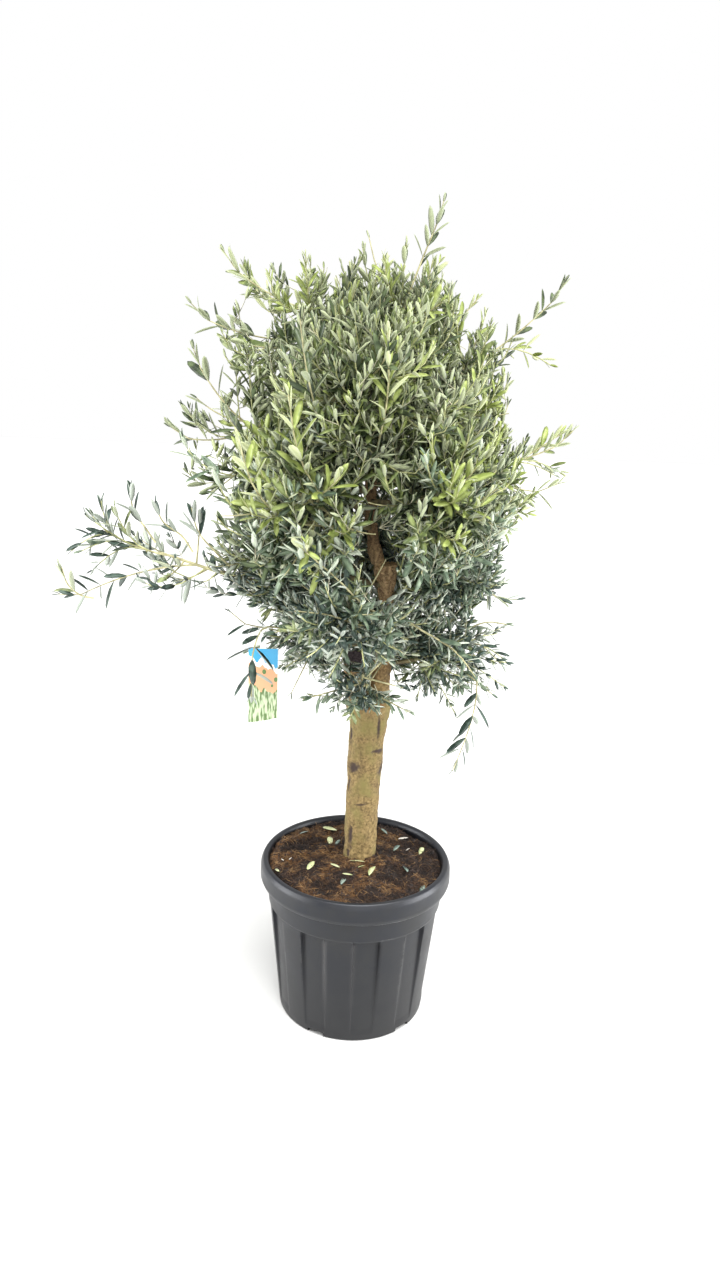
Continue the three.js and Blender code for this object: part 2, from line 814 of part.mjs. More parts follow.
const finish = (color, roughness) => new THREE.MeshStandardMaterial({ color, roughness });
const BARK = finish(0xb09a5c, 0.85);
const DEAD_WOOD = finish(0x4a3f3c, 0.9);
const TWIG_BARK = finish(0x8a8350, 0.8);
const FOLIAGE_HIGH = finish(0x8a9a5c, 0.6);
const FOLIAGE_LOW = finish(0x5c7058, 0.6);
const PLASTIC = finish(0x55565a, 0.5);
const POTTING_MIX = finish(0x4b3426, 1.0);
const FILM = finish(0xa9c48a, 0.35);

const tree = new THREE.Group();

function addNode(name, solid, material) {
  const mesh = new THREE.Mesh(geometryOf(solid), material);
  mesh.name = name;
  tree.add(mesh);
}

/** Each bough starts inside its limb, and is cut back to just clear of it and of the boughs before it. */
function boughSolids(routes) {
  const trunkSpace = new THREE.BoxGeometry(160, 160, 400).translate(0, 0, TRUNK.head.z + GAP - 200);
  const limbs = [leaderSolid("lower", GAP), leaderSolid("upper", GAP), stubSolid(GAP)];
  const taken = [...limbs, solidOf(trunkSpace)];
  return routes.map(({ bough, radius, joint }) => {
    const shape = (grow) => {
      const radiusAt = taper(radius, BOUGH.tipRadius, grow);
      return solidOf(limbGeometry(bough, radiusAt, BOUGH.sides, BOUGH.steps, { last: joint }));
    };
    const solid = taken.reduce((left, other) => left.subtract(other), shape(0));
    taken.push(shape(GAP));
    return mainBody(solid);
  });
}

/** The point where the label's twig reaches as far forward as the label hangs. */
function labelPoint(routes) {
  const holder = MASSES.findIndex((mass) => mass.tips.some((tip) => tip.carriesLabel));
  const { curve } = shootsOf(MASSES[holder], routes[holder].stem).find((shoot) => shoot.label);
  let share = 0;
  while (share < 1 && curve.getPointAt(share).y > LABEL.y) share += 0.002;
  return curve.getPointAt(share);
}

function buildTree() {
  const aboveTrunk = new THREE.BoxGeometry(200, 200, 100).translate(0, 0, TRUNK.head.z + GAP - 50);
  const lower = leaderSolid("lower").subtract(solidOf(aboveTrunk));
  const lowerSpace = leaderSolid("lower", GAP);
  addNode("pot", potSolid(), PLASTIC);
  addNode("soil", soilSolid(), POTTING_MIX);
  addNode("trunk", trunkSolid(), BARK);
  addNode("leader_lower", lower, BARK);
  addNode("leader_upper", mainBody(leaderSolid("upper").subtract(lowerSpace)), BARK);
  addNode("pruned_stub", mainBody(stubSolid().subtract(lowerSpace)), DEAD_WOOD);

  const routes = MASSES.map(routeOf);
  boughSolids(routes).forEach((solid, i) => addNode(`bough_${MASSES[i].name}`, solid, TWIG_BARK));

  const label = labelSolid(labelPoint(routes));
  const { min, max } = label.boundingBox();
  const labelBox = new THREE.Box3(vec(min), vec(max)).expandByScalar(CLEAR);
  addNode("plant_label", label, FILM);

  const limbs = limbObstacles(routes);
  const windows = windowObstacles();
  MASSES.forEach((mass, i) => {
    const { solid, leaves } = massSolid(mass, routes[i], limbs, windows, labelBox);
    addNode(`foliage_${mass.name}`, solid, mass.middle[2] > 1050 ? FOLIAGE_HIGH : FOLIAGE_LOW);
    tree.userData.leaves = (tree.userData.leaves ?? 0) + leaves;
  });
}

buildTree();

export default tree;
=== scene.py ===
"""A potted olive tree: a trunk cut back to a head, a kinked leader, thin boughs, and a loose crown of
long leafy shoots, standing in a fluted nursery pot. Metres, +Z up. -Y is the front."""

import json
import math
from collections import namedtuple

import bmesh
import bpy
import numpy as np
from mathutils import Matrix, Quaternion, Vector, kdtree, noise

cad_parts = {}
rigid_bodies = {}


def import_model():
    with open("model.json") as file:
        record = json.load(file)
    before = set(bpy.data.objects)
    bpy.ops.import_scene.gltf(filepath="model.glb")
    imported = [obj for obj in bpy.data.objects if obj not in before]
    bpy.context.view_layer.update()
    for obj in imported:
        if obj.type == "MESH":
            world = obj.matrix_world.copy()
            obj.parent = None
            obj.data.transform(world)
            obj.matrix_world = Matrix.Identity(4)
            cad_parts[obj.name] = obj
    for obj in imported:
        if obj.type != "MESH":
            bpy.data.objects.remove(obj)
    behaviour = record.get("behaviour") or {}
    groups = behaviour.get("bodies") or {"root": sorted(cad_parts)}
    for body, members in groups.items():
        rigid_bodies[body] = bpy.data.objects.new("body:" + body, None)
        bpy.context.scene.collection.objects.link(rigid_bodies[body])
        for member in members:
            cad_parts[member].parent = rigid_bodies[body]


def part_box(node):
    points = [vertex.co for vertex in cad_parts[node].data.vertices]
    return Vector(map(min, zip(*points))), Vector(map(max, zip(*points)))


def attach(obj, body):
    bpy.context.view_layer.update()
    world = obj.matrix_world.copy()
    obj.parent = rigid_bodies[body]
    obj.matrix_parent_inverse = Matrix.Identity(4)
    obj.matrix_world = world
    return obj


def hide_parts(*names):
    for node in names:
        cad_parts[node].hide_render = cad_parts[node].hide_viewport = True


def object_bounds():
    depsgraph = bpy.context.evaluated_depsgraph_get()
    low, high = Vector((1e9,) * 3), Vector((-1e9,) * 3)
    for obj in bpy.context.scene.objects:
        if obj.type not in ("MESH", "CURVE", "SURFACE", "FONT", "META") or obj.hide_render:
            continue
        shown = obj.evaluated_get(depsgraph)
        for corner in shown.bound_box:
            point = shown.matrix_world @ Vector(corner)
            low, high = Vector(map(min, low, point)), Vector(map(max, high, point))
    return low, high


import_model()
CAD_BOX = [list(corner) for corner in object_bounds()]

# ---------------------------------------------------------------- driving dimensions, in metres

MM = 0.001
UP = np.array([0.0, 0.0, 1.0])
GOLDEN = math.pi * (3 - math.sqrt(5))

Pot = namedtuple("Pot", "height rim neck shoulder shoulder_radius foot_radius flute_foot flutes")
POT = Pot(0.340, 0.200, 0.186, 0.250, 0.180, 0.155, 0.016, 10)
FLUTE_DEPTH = (0.0015, 0.0070)  # at its foot and at its head
FLUTE_EDGE = 0.038  # the width of a flute's sloping side, as a share of a flute and the wall after it
LIP_HEIGHT = 0.046
WALL = 0.008
COLLAR_RADIUS = 0.181
BASE_UNDERSIDE, BASE_TOP = 0.007, 0.011
BOSS_RADIUS, STAND_WIDTH = 0.050, 0.020
NOTCHES, NOTCH_SIZE = 5, (0.036, 0.080, 0.020, 1)
DRAIN_RADIUS, DRAIN_CIRCLE = 0.006, 0.112
SOIL_EDGE, SOIL_MOUND, SOIL_FLAT = 0.324, 0.331, 0.062

TRUNK_FOOT = np.array([0.007, 0, 0.3313])
TRUNK_HEAD = np.array([0.013, 0, 0.682])
TRUNK_RADII = (0.033, 0.036)
Knot = namedtuple("Knot", "turn height width swell")
KNOTS = [
    Knot(-75, 0.558, 0.026, 0.002),
    Knot(70, 0.560, 0.024, 0.004),
    Knot(62, 0.640, 0.040, 0.005),
    Knot(170, 0.480, 0.030, 0.005),
    Knot(-20, 0.672, 0.026, 0.003),
]
# Dark scars in the bark: the turn from the front, height, half width, half height, lean and depth.
Scar = namedtuple("Scar", "turn height across along lean depth")
SCARS = [
    Scar(50, 0.588, 0.016, 0.0045, -0.12, 0.0020),
    Scar(-44, 0.551, 0.014, 0.010, 0.15, 0.0020),
    Scar(66, 0.548, 0.009, 0.013, 0.5, 0.0020),
    Scar(-8, 0.473, 0.012, 0.0020, 0.12, 0.0010),
    Scar(-42, 0.397, 0.006, 0.022, 0.06, 0.0028),
    Scar(-50, 0.358, 0.005, 0.014, -0.1, 0.0020),
    Scar(80, 0.450, 0.005, 0.028, 0, 0.0020),
    Scar(80, 0.500, 0.006, 0.018, 0.1, 0.0016),
    Scar(-62, 0.515, 0.003, 0.018, -0.35, 0.0010),
    Scar(-66, 0.620, 0.004, 0.020, 0.2, 0.0012),
    Scar(36, 0.640, 0.003, 0.024, 0.1, 0.0012),
    Scar(40, 0.700, 0.020, 0.004, 0.1, 0.0015),
    Scar(150, 0.600, 0.012, 0.005, 0.1, 0.0016),
    Scar(-140, 0.500, 0.006, 0.018, 0.1, 0.0018),
    Scar(-165, 0.425, 0.011, 0.003, -0.1, 0.0014),
    Scar(120, 0.395, 0.005, 0.014, 0.1, 0.0016),
]

LOWER_LEADER = [(0.035, 0.002, 0.682), (0.036, 0.002, 0.760), (0.042, 0, 0.870), (0.034, 0.002, 0.968)]
LOWER_RADII = (0.021, 0.013, 0.024)  # foot, waist, knob
UPPER_LEADER = [(0.020, 0.003, 0.968), (0.006, 0.004, 1.030), (0, 0.006, 1.110), (0.008, 0.008, 1.215)]
UPPER_RADII = (0.015, 0.007)
STUB_FOOT, STUB_TOP = (-0.006, 0.004, 0.682), (-0.022, -0.010, 0.792)
STUB_RADII = (0.024, 0.019)
STUB_CUT_TILT = 40
HEAD_SPRIG = (0.006, -0.026)

BOUGH_BOW, BOUGH_TIP = 0.06, 0.0038
STEM_RADII = (0.0036, 0.0024)
SHOOT_RADII = (0.0021, 0.0009)
SIDE_RADII = (0.0015, 0.0010)
FINE_RADII = (0.0009, 0.0006)
REACH = 0.74  # of a mass's half sizes, where its full shoots end
SHOOT_END, LONG_SHOOT_END = 0.045, 0.040  # how far the shoots go on where the solid has its last leaves
LONG_SHOOT_TURN = 0.5
OPEN_EDGE = 0.045  # sprays lean this far over the face between two masses, so that no bare line shows

Mass = namedtuple("Mass", "middle half limb start shoots bow tips")
Tip = namedtuple("Tip", "end bow at via sprigs", defaults=(None, 0))
MASSES = {
    "top_left": Mass((-0.112, -0.015, 1.402), (0.172, 0.145, 0.142), "upper", 1.150, 5, 0.15, (
        Tip((-0.252, -0.020, 1.488), 0.12, 0.9, None, 2), Tip((-0.306, -0.015, 1.404), 0.15, 0.6))),
    "top_centre": Mass((0.040, -0.020, 1.405), (0.130, 0.130, 0.138), "upper", 1.205, 5, 0.1, (
        Tip((0.098, 0, 1.580), -0.05, 0.9), Tip((-0.010, -0.010, 1.515), 0.05, 0.75))),
    "top_right": Mass((0.145, 0.020, 1.315), (0.125, 0.140, 0.140), "upper", 1.170, 5, 0.15, (
        Tip((0.312, 0, 1.458), 0.1, 0.9, None, 1),)),
    "top_back": Mass((0.005, 0.165, 1.360), (0.190, 0.135, 0.165), "upper", 1.185, 5, 0.15, ()),
    "top_front": Mass((-0.010, -0.170, 1.300), (0.180, 0.125, 0.155), "upper", 1.165, 6, 0.15, ()),
    "upper_left": Mass((-0.220, 0, 1.210), (0.150, 0.150, 0.155), "upper", 1.060, 4, 0.15, (
        Tip((-0.318, -0.010, 1.318), 0.15, 0.9, None, 2), Tip((-0.345, 0, 1.192), 0.15, 0.75, None, 1))),
    "front_left": Mass((-0.105, -0.180, 1.110), (0.160, 0.130, 0.150), "upper", 1.035, 6, 0.15, ()),
    "front_right": Mass((0.115, -0.175, 1.130), (0.150, 0.130, 0.145), "upper", 1.085, 6, 0.15, ()),
    "upper_right": Mass((0.190, 0, 1.150), (0.120, 0.150, 0.135), "upper", 1.055, 5, 0.15, (
        Tip((0.345, 0, 1.205), 0.1, 0.9, None, 1), Tip((0.312, -0.030, 1.122), 0.12, 0.75, None, 1))),
    "back_left": Mass((-0.130, 0.175, 1.160), (0.160, 0.130, 0.145), "upper", 1.100, 5, 0.15, ()),
    "back_right": Mass((0.120, 0.175, 1.140), (0.155, 0.130, 0.145), "upper", 1.115, 5, 0.15, ()),
    "middle_left": Mass((-0.165, -0.025, 0.985), (0.145, 0.145, 0.125), "lower", 0.925, 6, 0.1, ()),
    "far_left": Mass((-0.362, -0.040, 0.972), (0.095, 0.075, 0.075), "lower", 0.880, 3, 0.08, (
        Tip((-0.548, -0.045, 0.893), -0.12, 0.45), Tip((-0.490, -0.050, 1.018), 0.1, 0.9, None, 6))),
    "middle_right": Mass((0.160, -0.015, 0.970), (0.125, 0.145, 0.125), "lower", 0.900, 6, 0.1, (
        Tip((0.262, 0.010, 0.905), 0.1, 0.9),)),
    "middle_back": Mass((0.010, 0.165, 0.965), (0.170, 0.130, 0.130), "lower", 0.915, 5, 0.1, ()),
    "middle_front": Mass((-0.035, -0.155, 0.905), (0.145, 0.115, 0.110), "lower", 0.850, 5, 0.05, ()),
    "low_left": Mass((-0.115, -0.025, 0.825), (0.100, 0.120, 0.105), "lower", 0.800, 6, 0, (
        Tip((-0.224, -0.106, 0.866), 0.02, 0.9),)),
    "low_right": Mass((0.150, -0.025, 0.800), (0.125, 0.125, 0.110), "lower", 0.765, 5, 0, (
        Tip((0.200, -0.030, 0.592), 0, 0.9, (0.262, -0.030, 0.790)),)),
    "low_front": Mass((0, -0.115, 0.765), (0.110, 0.090, 0.080), "head", 0.680, 5, 0, ()),
    "low_back": Mass((0.025, 0.125, 0.790), (0.135, 0.115, 0.115), "lower", 0.735, 5, 0, ()),
}
DROOP_HEIGHT = 0.74  # under this, long shoots hang in the shade and have large deep green leaves
RISE_FROM, RISE_OVER = 0.84, 0.30  # the height from which growth turns up, and how far on it does so wholly
SUN_FROM, SUN_OVER = 1.00, 0.28  # and from which the leaves are the more sunlit kinds
OLDER_SIDE = -0.16  # the masses left of this hold more old, deep green leaves
SKIRT_TOP = 1.0  # under this, side twigs have small leaves like those of the fine twigs
HIGH_LIMIT = 1.050  # masses whose middles are above this have the sunlit foliage

# Gaps in the foliage in front of the leader and the stub: a point on the limb, the rise for each metre
# that the gap runs forward, and its radius.
WINDOWS = [
    ((0.034, 0, 0.930), 0.22, 0.025),
    ((0.022, 0, 0.972), 0.20, 0.027),
    ((0.006, 0, 1.020), 0.17, 0.021),
    ((0.038, 0, 0.735), 0.33, 0.024),
    ((-0.018, 0, 0.782), 0.30, 0.013),
    ((0.010, 0, 1.100), 0.10, 0.018),
]
WINDOW_RUN = 0.36
FRONT_EYE = np.array([-0.009, -1.829, 1.333])
# Where the crown is open to the sky for an eye there: x and z at its middle plane, and the radius.
SKY_GAPS = [
    (-0.226, 1.416, 0.021), (-0.136, 0.727, 0.018), (-0.340, 1.291, 0.016), (0.060, 1.517, 0.014),
    (0.254, 1.260, 0.015), (-0.265, 1.467, 0.012), (-0.341, 1.205, 0.012), (-0.087, 1.514, 0.012),
    (0.224, 0.884, 0.013), (-0.242, 0.847, 0.012), (0.173, 1.424, 0.012), (0.256, 1.300, 0.011),
    (0.298, 1.130, 0.011), (-0.290, 1.344, 0.011), (-0.276, 1.058, 0.011), (-0.103, 0.710, 0.012),
    (-0.171, 1.527, 0.010), (-0.209, 1.476, 0.010), (-0.241, 1.243, 0.009), (-0.322, 0.999, 0.013),
    (-0.315, 0.935, 0.012), (-0.203, 1.414, 0.011), (-0.313, 1.186, 0.011), (0.317, 1.180, 0.011),
    (-0.016, 1.535, 0.010), (-0.366, 0.935, 0.010), (0.247, 0.870, 0.010), (0.264, 1.417, 0.010),
    (-0.077, 1.499, 0.009), (-0.295, 1.241, 0.009), (-0.217, 1.375, 0.009), (0.159, 1.378, 0.009),
    (-0.269, 1.111, 0.009), (-0.330, 0.968, 0.009),
]

# Leaves of the vigorous shoots, and of the fine twigs inside: length, width and the gap from pair to pair.
Leaf = namedtuple("Leaf", "length width spacing")
BROAD_LEAF = Leaf(0.036, 0.0086, 0.0175)
FINE_LEAF = Leaf(0.0255, 0.0072, 0.0112)
LEAF_OPENING = {"tip": 18, "broad": 47, "fine": 54}  # how far they stand off their shoot, in degrees
LEAF_SPREAD = 8  # and how much that varies
# By a shoot's rank, the share of it that bears no leaves, and the size of its leaves.
BARE_FOOT, BARE_RUNNER_FOOT = {1: 0.3, 2: 0.18, 3: 0.2}, 0.38
RANK_VIGOUR, DROOPING_VIGOUR = {1: 1.1, 2: 0.92, 3: 1}, 1.35
# How large the leaves of a mass are, and how many twigs it has, against the rest of the crown.
VIGOUR = {"front_left": 1.25, "upper_left": 1.32, "far_left": 1.2, "middle_left": 1.15, "top_left": 1.05,
          "top_front": 1.1, "front_right": 1.1, "low_front": 0.85, "low_left": 0.9, "low_right": 0.9,
          "middle_front": 0.95}
FULLNESS = {"upper_left": 0.34, "far_left": 0.4, "upper_right": 0.75, "top_right": 0.74, "top_left": 0.56,
            "front_left": 0.6, "low_front": 0.7, "low_left": 0.8, "low_right": 0.78}


# ---------------------------------------------------------------- small tools


class Nodes:
    """A tree of nodes. Each input, by name or place, takes a value or another node's output."""

    def __init__(self, tree):
        self.tree = tree

    def feed(self, node, inputs):
        for key, value in inputs.items():
            if isinstance(value, bpy.types.NodeSocket):
                self.tree.links.new(value, node.inputs[key])
            else:
                node.inputs[key].default_value = value

    def node(self, kind, inputs=None, **settings):
        made = self.tree.nodes.new(kind)
        for key, value in settings.items():
            setattr(made, key, value)
        self.feed(made, inputs or {})
        return made

    def add(self, kind, inputs=None, output=0, **settings):
        """Adds a node and returns one of its outputs, the first unless another is named."""
        return self.node(kind, inputs, **settings).outputs[output]

    def noise(self, place, size, detail, roughness=0.5):
        """Smooth noise whose features lie that many millimetres apart."""
        return self.add("ShaderNodeTexNoise", {"Vector": place, "Scale": 1 / (size * MM), "Detail": detail,
                                               "Roughness": roughness})

    def ramp(self, value, low, high, start=0.0, end=1.0):
        """Runs from start to end as a value goes from low to high."""
        return self.add("ShaderNodeMapRange", {0: value, 1: low, 2: high, 3: start, 4: end})

    def math(self, operation, *values):
        return self.add("ShaderNodeMath", dict(enumerate(values)), operation=operation)

    def axes(self, place):
        return self.node("ShaderNodeSeparateXYZ", {0: place}).outputs

    def dryness(self, place):
        """How dry the potting mix is, from 0 to 1: patches some 70 mm across, more of them on the left."""
        leaning = self.math("MULTIPLY_ADD", self.axes(place)[0], -0.5, self.noise(place, 70, 4.0))
        return self.ramp(leaning, 0.46, 0.56)


def linear(hex_colour):
    """An sRGB hex value as the linear colour that a socket takes."""
    channels = [int(hex_colour[i:i + 2], 16) / 255 for i in (1, 3, 5)]
    return [c / 12.92 if c <= 0.04045 else ((c + 0.055) / 1.055) ** 2.4 for c in channels] + [1]


def mesh_of(name, points, faces, smooth=True):
    mesh = bpy.data.meshes.new(name)
    mesh.from_pydata([tuple(p) for p in points], [], [tuple(f) for f in faces])
    mesh.polygons.foreach_set("use_smooth", [smooth] * len(mesh.polygons))
    mesh.update()
    return mesh


def ring_faces(steps, sides):
    """The faces between rings of points, and those that close both ends on the two points after them."""
    faces, start, end = [], (steps + 1) * sides, steps * sides
    for j in range(sides):
        k = (j + 1) % sides
        faces += [(i + j, i + k, i + sides + k, i + sides + j) for i in range(0, end, sides)]
        faces += [(start, k, j), (start + 1, end + j, end + k)]
    return faces


def mesh_from(shape, name):
    """An edited shape as a mesh."""
    mesh = bpy.data.meshes.new(name)
    shape.to_mesh(mesh)
    shape.free()
    return mesh


def store(mesh, name, values, kind="FLOAT", domain="POINT"):
    """Keeps values on a mesh as an attribute."""
    number = {"INT": np.int32, "BOOLEAN": bool}.get(kind, np.float32)
    key = "vector" if kind == "FLOAT_VECTOR" else "value"
    mesh.attributes.new(name, kind, domain).data.foreach_set(key, np.asarray(values, number).ravel())


def skin_of(mesh):
    """The points and the normals of a mesh."""
    read = []
    for key in ("co", "normal"):
        values = np.zeros(len(mesh.vertices) * 3)
        mesh.vertices.foreach_get(key, values)
        read.append(values.reshape(-1, 3))
    return read


def displace(mesh, points):
    """Moves the points of a smooth mesh."""
    mesh.vertices.foreach_set("co", points.ravel())
    mesh.polygons.foreach_set("use_smooth", [True] * len(mesh.polygons))
    mesh.update()


def new_object(name, data):
    made = bpy.data.objects.new(name, data)
    bpy.context.scene.collection.objects.link(made)
    return made


def modify(made, kind, **settings):
    """Adds a modifier with its settings, and returns it."""
    modifier = made.modifiers.new(kind.lower(), kind)
    for key, value in settings.items():
        setattr(modifier, key, value)
    return modifier


def new_piece(name, mesh, replaced=(), materials=()):
    """A finished piece of the tree: its place is in its mesh, and it rides on the one body."""
    for material in materials:
        mesh.materials.append(material)
    piece = new_object(name, mesh)
    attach(piece, "root")
    if replaced:
        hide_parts(*replaced)
    return piece


def plain_mesh(made):
    """The evaluated mesh of an object, which is then removed with its modifiers."""
    bpy.context.view_layer.update()
    evaluated = made.evaluated_get(bpy.context.evaluated_depsgraph_get())
    mesh = bpy.data.meshes.new_from_object(evaluated)
    mesh.name = made.name
    bpy.data.objects.remove(made)
    return mesh


def grown(base, tree, values):
    """The plain mesh that a tree of geometry nodes grows on a base mesh, from inputs given by name."""
    made = new_object(base.name, base)
    modifier = modify(made, "NODES", node_group=tree)
    sockets = {item.name: item.identifier for item in tree.interface.items_tree if item.in_out == "INPUT"}
    for name, value in values.items():
        modifier[sockets[name]] = value
    return plain_mesh(made)


def unit(v):
    v = np.asarray(v, float)
    return v / np.maximum(np.linalg.norm(v, axis=-1, keepdims=True), 1e-9)


def ball_way(i, count, turn):
    """The way from the middle of a ball to one of so many rings from its top, at a turn."""
    z = 1 - 2 * (i + 0.5) / count
    flat = math.sqrt(1 - z * z)
    return np.array([flat * math.cos(turn), flat * math.sin(turn), z])


def ruffle(points, size, seed=0.0):
    """Smooth noise from -1 to 1 at each point, with lumps of about that size."""
    shift = Vector((seed * 7.3, seed * 3.1, seed * 5.7))
    return np.array([noise.noise(Vector(p) / size + shift) for p in points]) * 1.4


# ---------------------------------------------------------------- paths of limbs


class Path:
    """A smooth line sampled closely, and read by the share of its length."""

    def __init__(self, points):
        self.points = np.asarray(points, float)
        steps = np.linalg.norm(np.diff(self.points, axis=0), axis=1)
        self.run = np.concatenate([[0], np.cumsum(steps)])
        self.length = self.run[-1]

    def at(self, share):
        run = np.asarray(share) * self.length
        return np.stack([np.interp(run, self.run, self.points[:, k]) for k in range(3)], axis=-1)

    def heading(self, share):
        share = np.asarray(share, float)
        return unit(self.at(np.minimum(share + 0.02, 1)) - self.at(np.maximum(share - 0.02, 0)))


def through(points, fine=24):
    """A centripetal Catmull-Rom curve through the points."""
    p = [np.asarray(q, float) for q in points]
    p = [2 * p[0] - p[1], *p, 2 * p[-1] - p[-2]]
    line = []
    for a, b, c, d in zip(p, p[1:], p[2:], p[3:]):
        gaps = [max(np.sum((m - n) ** 2) ** 0.25, 1e-4) for m, n in ((b, a), (c, b), (d, c))]
        leave = ((b - a) / gaps[0] - (c - a) / (gaps[0] + gaps[1]) + (c - b) / gaps[1]) * gaps[1]
        reach = ((c - b) / gaps[1] - (d - b) / (gaps[1] + gaps[2]) + (d - c) / gaps[2]) * gaps[1]
        for t in np.linspace(0, 1, fine, endpoint=False):
            cube = (2 * b - 2 * c + leave + reach) * t**3
            line.append(b + leave * t + (3 * (c - b) - 2 * leave - reach) * t**2 + cube)
    return Path([*line, p[-2]])


def bent(a, b, control, fine=32):
    """A curve from a to b that is drawn towards a control point."""
    t = np.linspace(0, 1, fine)[:, None]
    a, b, control = (np.asarray(q, float) for q in (a, b, control))
    return Path((1 - t) ** 2 * a + 2 * t * (1 - t) * control + t**2 * b)


def bowed(a, b, bow):
    """A curve from a to b whose middle hangs by bow times its length, so that its end turns up."""
    a, b = np.asarray(a, float), np.asarray(b, float)
    return bent(a, b, (a + b) / 2 - UP * bow * np.linalg.norm(b - a))


LOWER, UPPER = through(LOWER_LEADER), through(UPPER_LEADER)


def lower_radius(share):
    foot, waist, knob = LOWER_RADII
    return waist + (foot - waist) * (1 - share) ** 1.6 + (knob - waist) * np.exp(-((share - 1) / 0.13) ** 2)


def upper_radius(share):
    return UPPER_RADII[0] + (UPPER_RADII[1] - UPPER_RADII[0]) * share


def distance_to(points, path, shares):
    """The least distance from each point to a path, and the share of the path it is at."""
    line = path.at(shares)
    far = np.linalg.norm(points[:, None] - line[None], axis=2)
    nearest = far.argmin(1)
    return far[np.arange(len(points)), nearest], shares[nearest]


def clear_of_limbs(points):
    """Whether points are outside the trunk, the leader and the stub, and out of the gaps before them."""
    shares = np.linspace(0, 1, 60)
    free = np.ones(len(points), bool)
    for path, radius in ((LOWER, lower_radius), (UPPER, upper_radius)):
        far, share = distance_to(points, path, shares)
        free &= far > radius(share) + 0.002
    for ends, reach in (((TRUNK_FOOT, TRUNK_HEAD), TRUNK_RADII[1]), ((STUB_FOOT, STUB_TOP), STUB_RADII[0])):
        free &= distance_to(points, Path(ends), shares)[0] > reach + 0.004
    for at, rise, radius in WINDOWS:
        start = np.array(at)
        ray = Path([start, start + np.array([0, -1, rise]) * WINDOW_RUN])
        free &= distance_to(points, ray, shares)[0] > radius
    for x, z, radius in SKY_GAPS:
        line = unit(np.array([x, 0, z]) - FRONT_EYE)
        free &= np.linalg.norm(np.cross(points - FRONT_EYE, line), axis=1) > radius
    return free


# ---------------------------------------------------------------- growth, by the rule of the solids


def repeatable(seed):
    """A small repeatable random source, from 0 to 1."""
    low = 0xFFFFFFFF
    state = seed & low

    def draw():
        nonlocal state
        state = (state + 0x6D2B79F5) & low
        t = ((state ^ (state >> 15)) * (state | 1)) & low
        t ^= (t + ((t ^ (t >> 7)) * (t | 61) & low)) & low
        return ((t ^ (t >> 14)) & low) / 4294967296

    return draw


def origin_of(mass):
    """Where a bough springs from, inside its limb."""
    if mass.limb == "head":
        return np.array([*HEAD_SPRIG, mass.start])
    line = LOWER if mass.limb == "lower" else UPPER
    share = next((s / 100 for s in range(101) if line.at(s / 100)[2] >= mass.start), 1.0)
    return line.at(share)


def in_cell(point, mass, margin):
    """Whether a point is on the mass's own side of every face that it shares with another mass."""
    own = np.array(mass.middle)
    for other in MASSES.values():
        if other is mass:
            continue
        towards = np.array(other.middle) - own
        length = np.linalg.norm(towards)
        if (point - own) @ towards / length >= length / 2 - margin:
            return False
    return True


def route_of(mass):
    """The bough, which ends where it has entered the mass, and the stem that goes on from its tip."""
    middle = np.array(mass.middle)
    whole = bowed(origin_of(mass), middle, BOUGH_BOW)
    share = 0.56
    while share < 0.9 and not in_cell(whole.at(share), mass, 0.0102):
        share += 0.02
    end = middle + whole.heading(0.98) * 0.3 * min(mass.half)
    bough = through([whole.at(share * i / 4) for i in range(5)])
    stem = through([whole.at(share), whole.at((share + 1) / 2), whole.at(1), end])
    return bough, stem


def depth_in(point, mass):
    """How far out a point is, where 1 is the outside of the mass."""
    return float(np.linalg.norm((point - np.array(mass.middle)) / np.array(mass.half)))


Shoot = namedtuple("Shoot", "path radii spin long rank sprigs", defaults=(0,))


def shoots_of(mass, seed, stem):
    """The mass's full shoots and the single long ones that stand out of it."""
    draw = repeatable(seed)
    middle, half = np.array(mass.middle), np.array(mass.half)
    fed = unit(stem.at(0) - middle)
    count = math.ceil(mass.shoots * 1.25)
    ends = []
    for i in range(count):
        way = ball_way(i, count, i * GOLDEN + draw() * 0.5)
        out = way * half * REACH * (0.85 + 0.15 * draw())
        if way @ fed > 0.7:
            continue
        fit = next((k for k in (1, 0.85, 0.7, 0.55) if in_cell(middle + out * k, mass, 0.012)), None)
        if fit:
            ends.append(middle + out * fit)
    start = stem.at(0)
    heading = unit(stem.at(1) - start)
    ends.sort(key=lambda end: (end - start) @ heading)
    shoots = []
    for i, end in enumerate(ends):
        share = 0.15 + 0.83 * (i + 0.5) / len(ends)
        beyond = end + unit(end - stem.at(share)) * SHOOT_END
        shoots.append(Shoot(bowed(stem.at(share), beyond, mass.bow), SHOOT_RADII, draw(), False, 1))
    for tip in mass.tips:
        start = stem.at(tip.at)
        path = bent(start, tip.end, tip.via) if tip.via else bowed(start, tip.end, tip.bow)
        turned_up = path.heading(1) + UP * LONG_SHOOT_TURN * (tip.via is None)
        path = Path([*path.points, path.at(1) + unit(turned_up) * LONG_SHOOT_END])
        shoots.append(Shoot(path, SHOOT_RADII, draw(), True, 1, tip.sprigs))
    return shoots


Order = namedtuple("Order", "reach radii rank climb")
SIDE = Order(0.130, SIDE_RADII, 2, 2.4)
FINE = Order(0.055, FINE_RADII, 3, 0.9)
SIDE_COUNT, SIDE_DEPTHS = 58, (0.72, 1.14)  # in a full mass
FINE_TRIES, FINE_REACH = 8600, 0.86  # ends tried in the box around the crown, and how far out in a mass


def rise_at(z):
    """How strongly growth turns up: not at all under the crown's skirt, and wholly in its upper half."""
    return float(np.clip((z - RISE_FROM) / RISE_OVER, 0, 1))


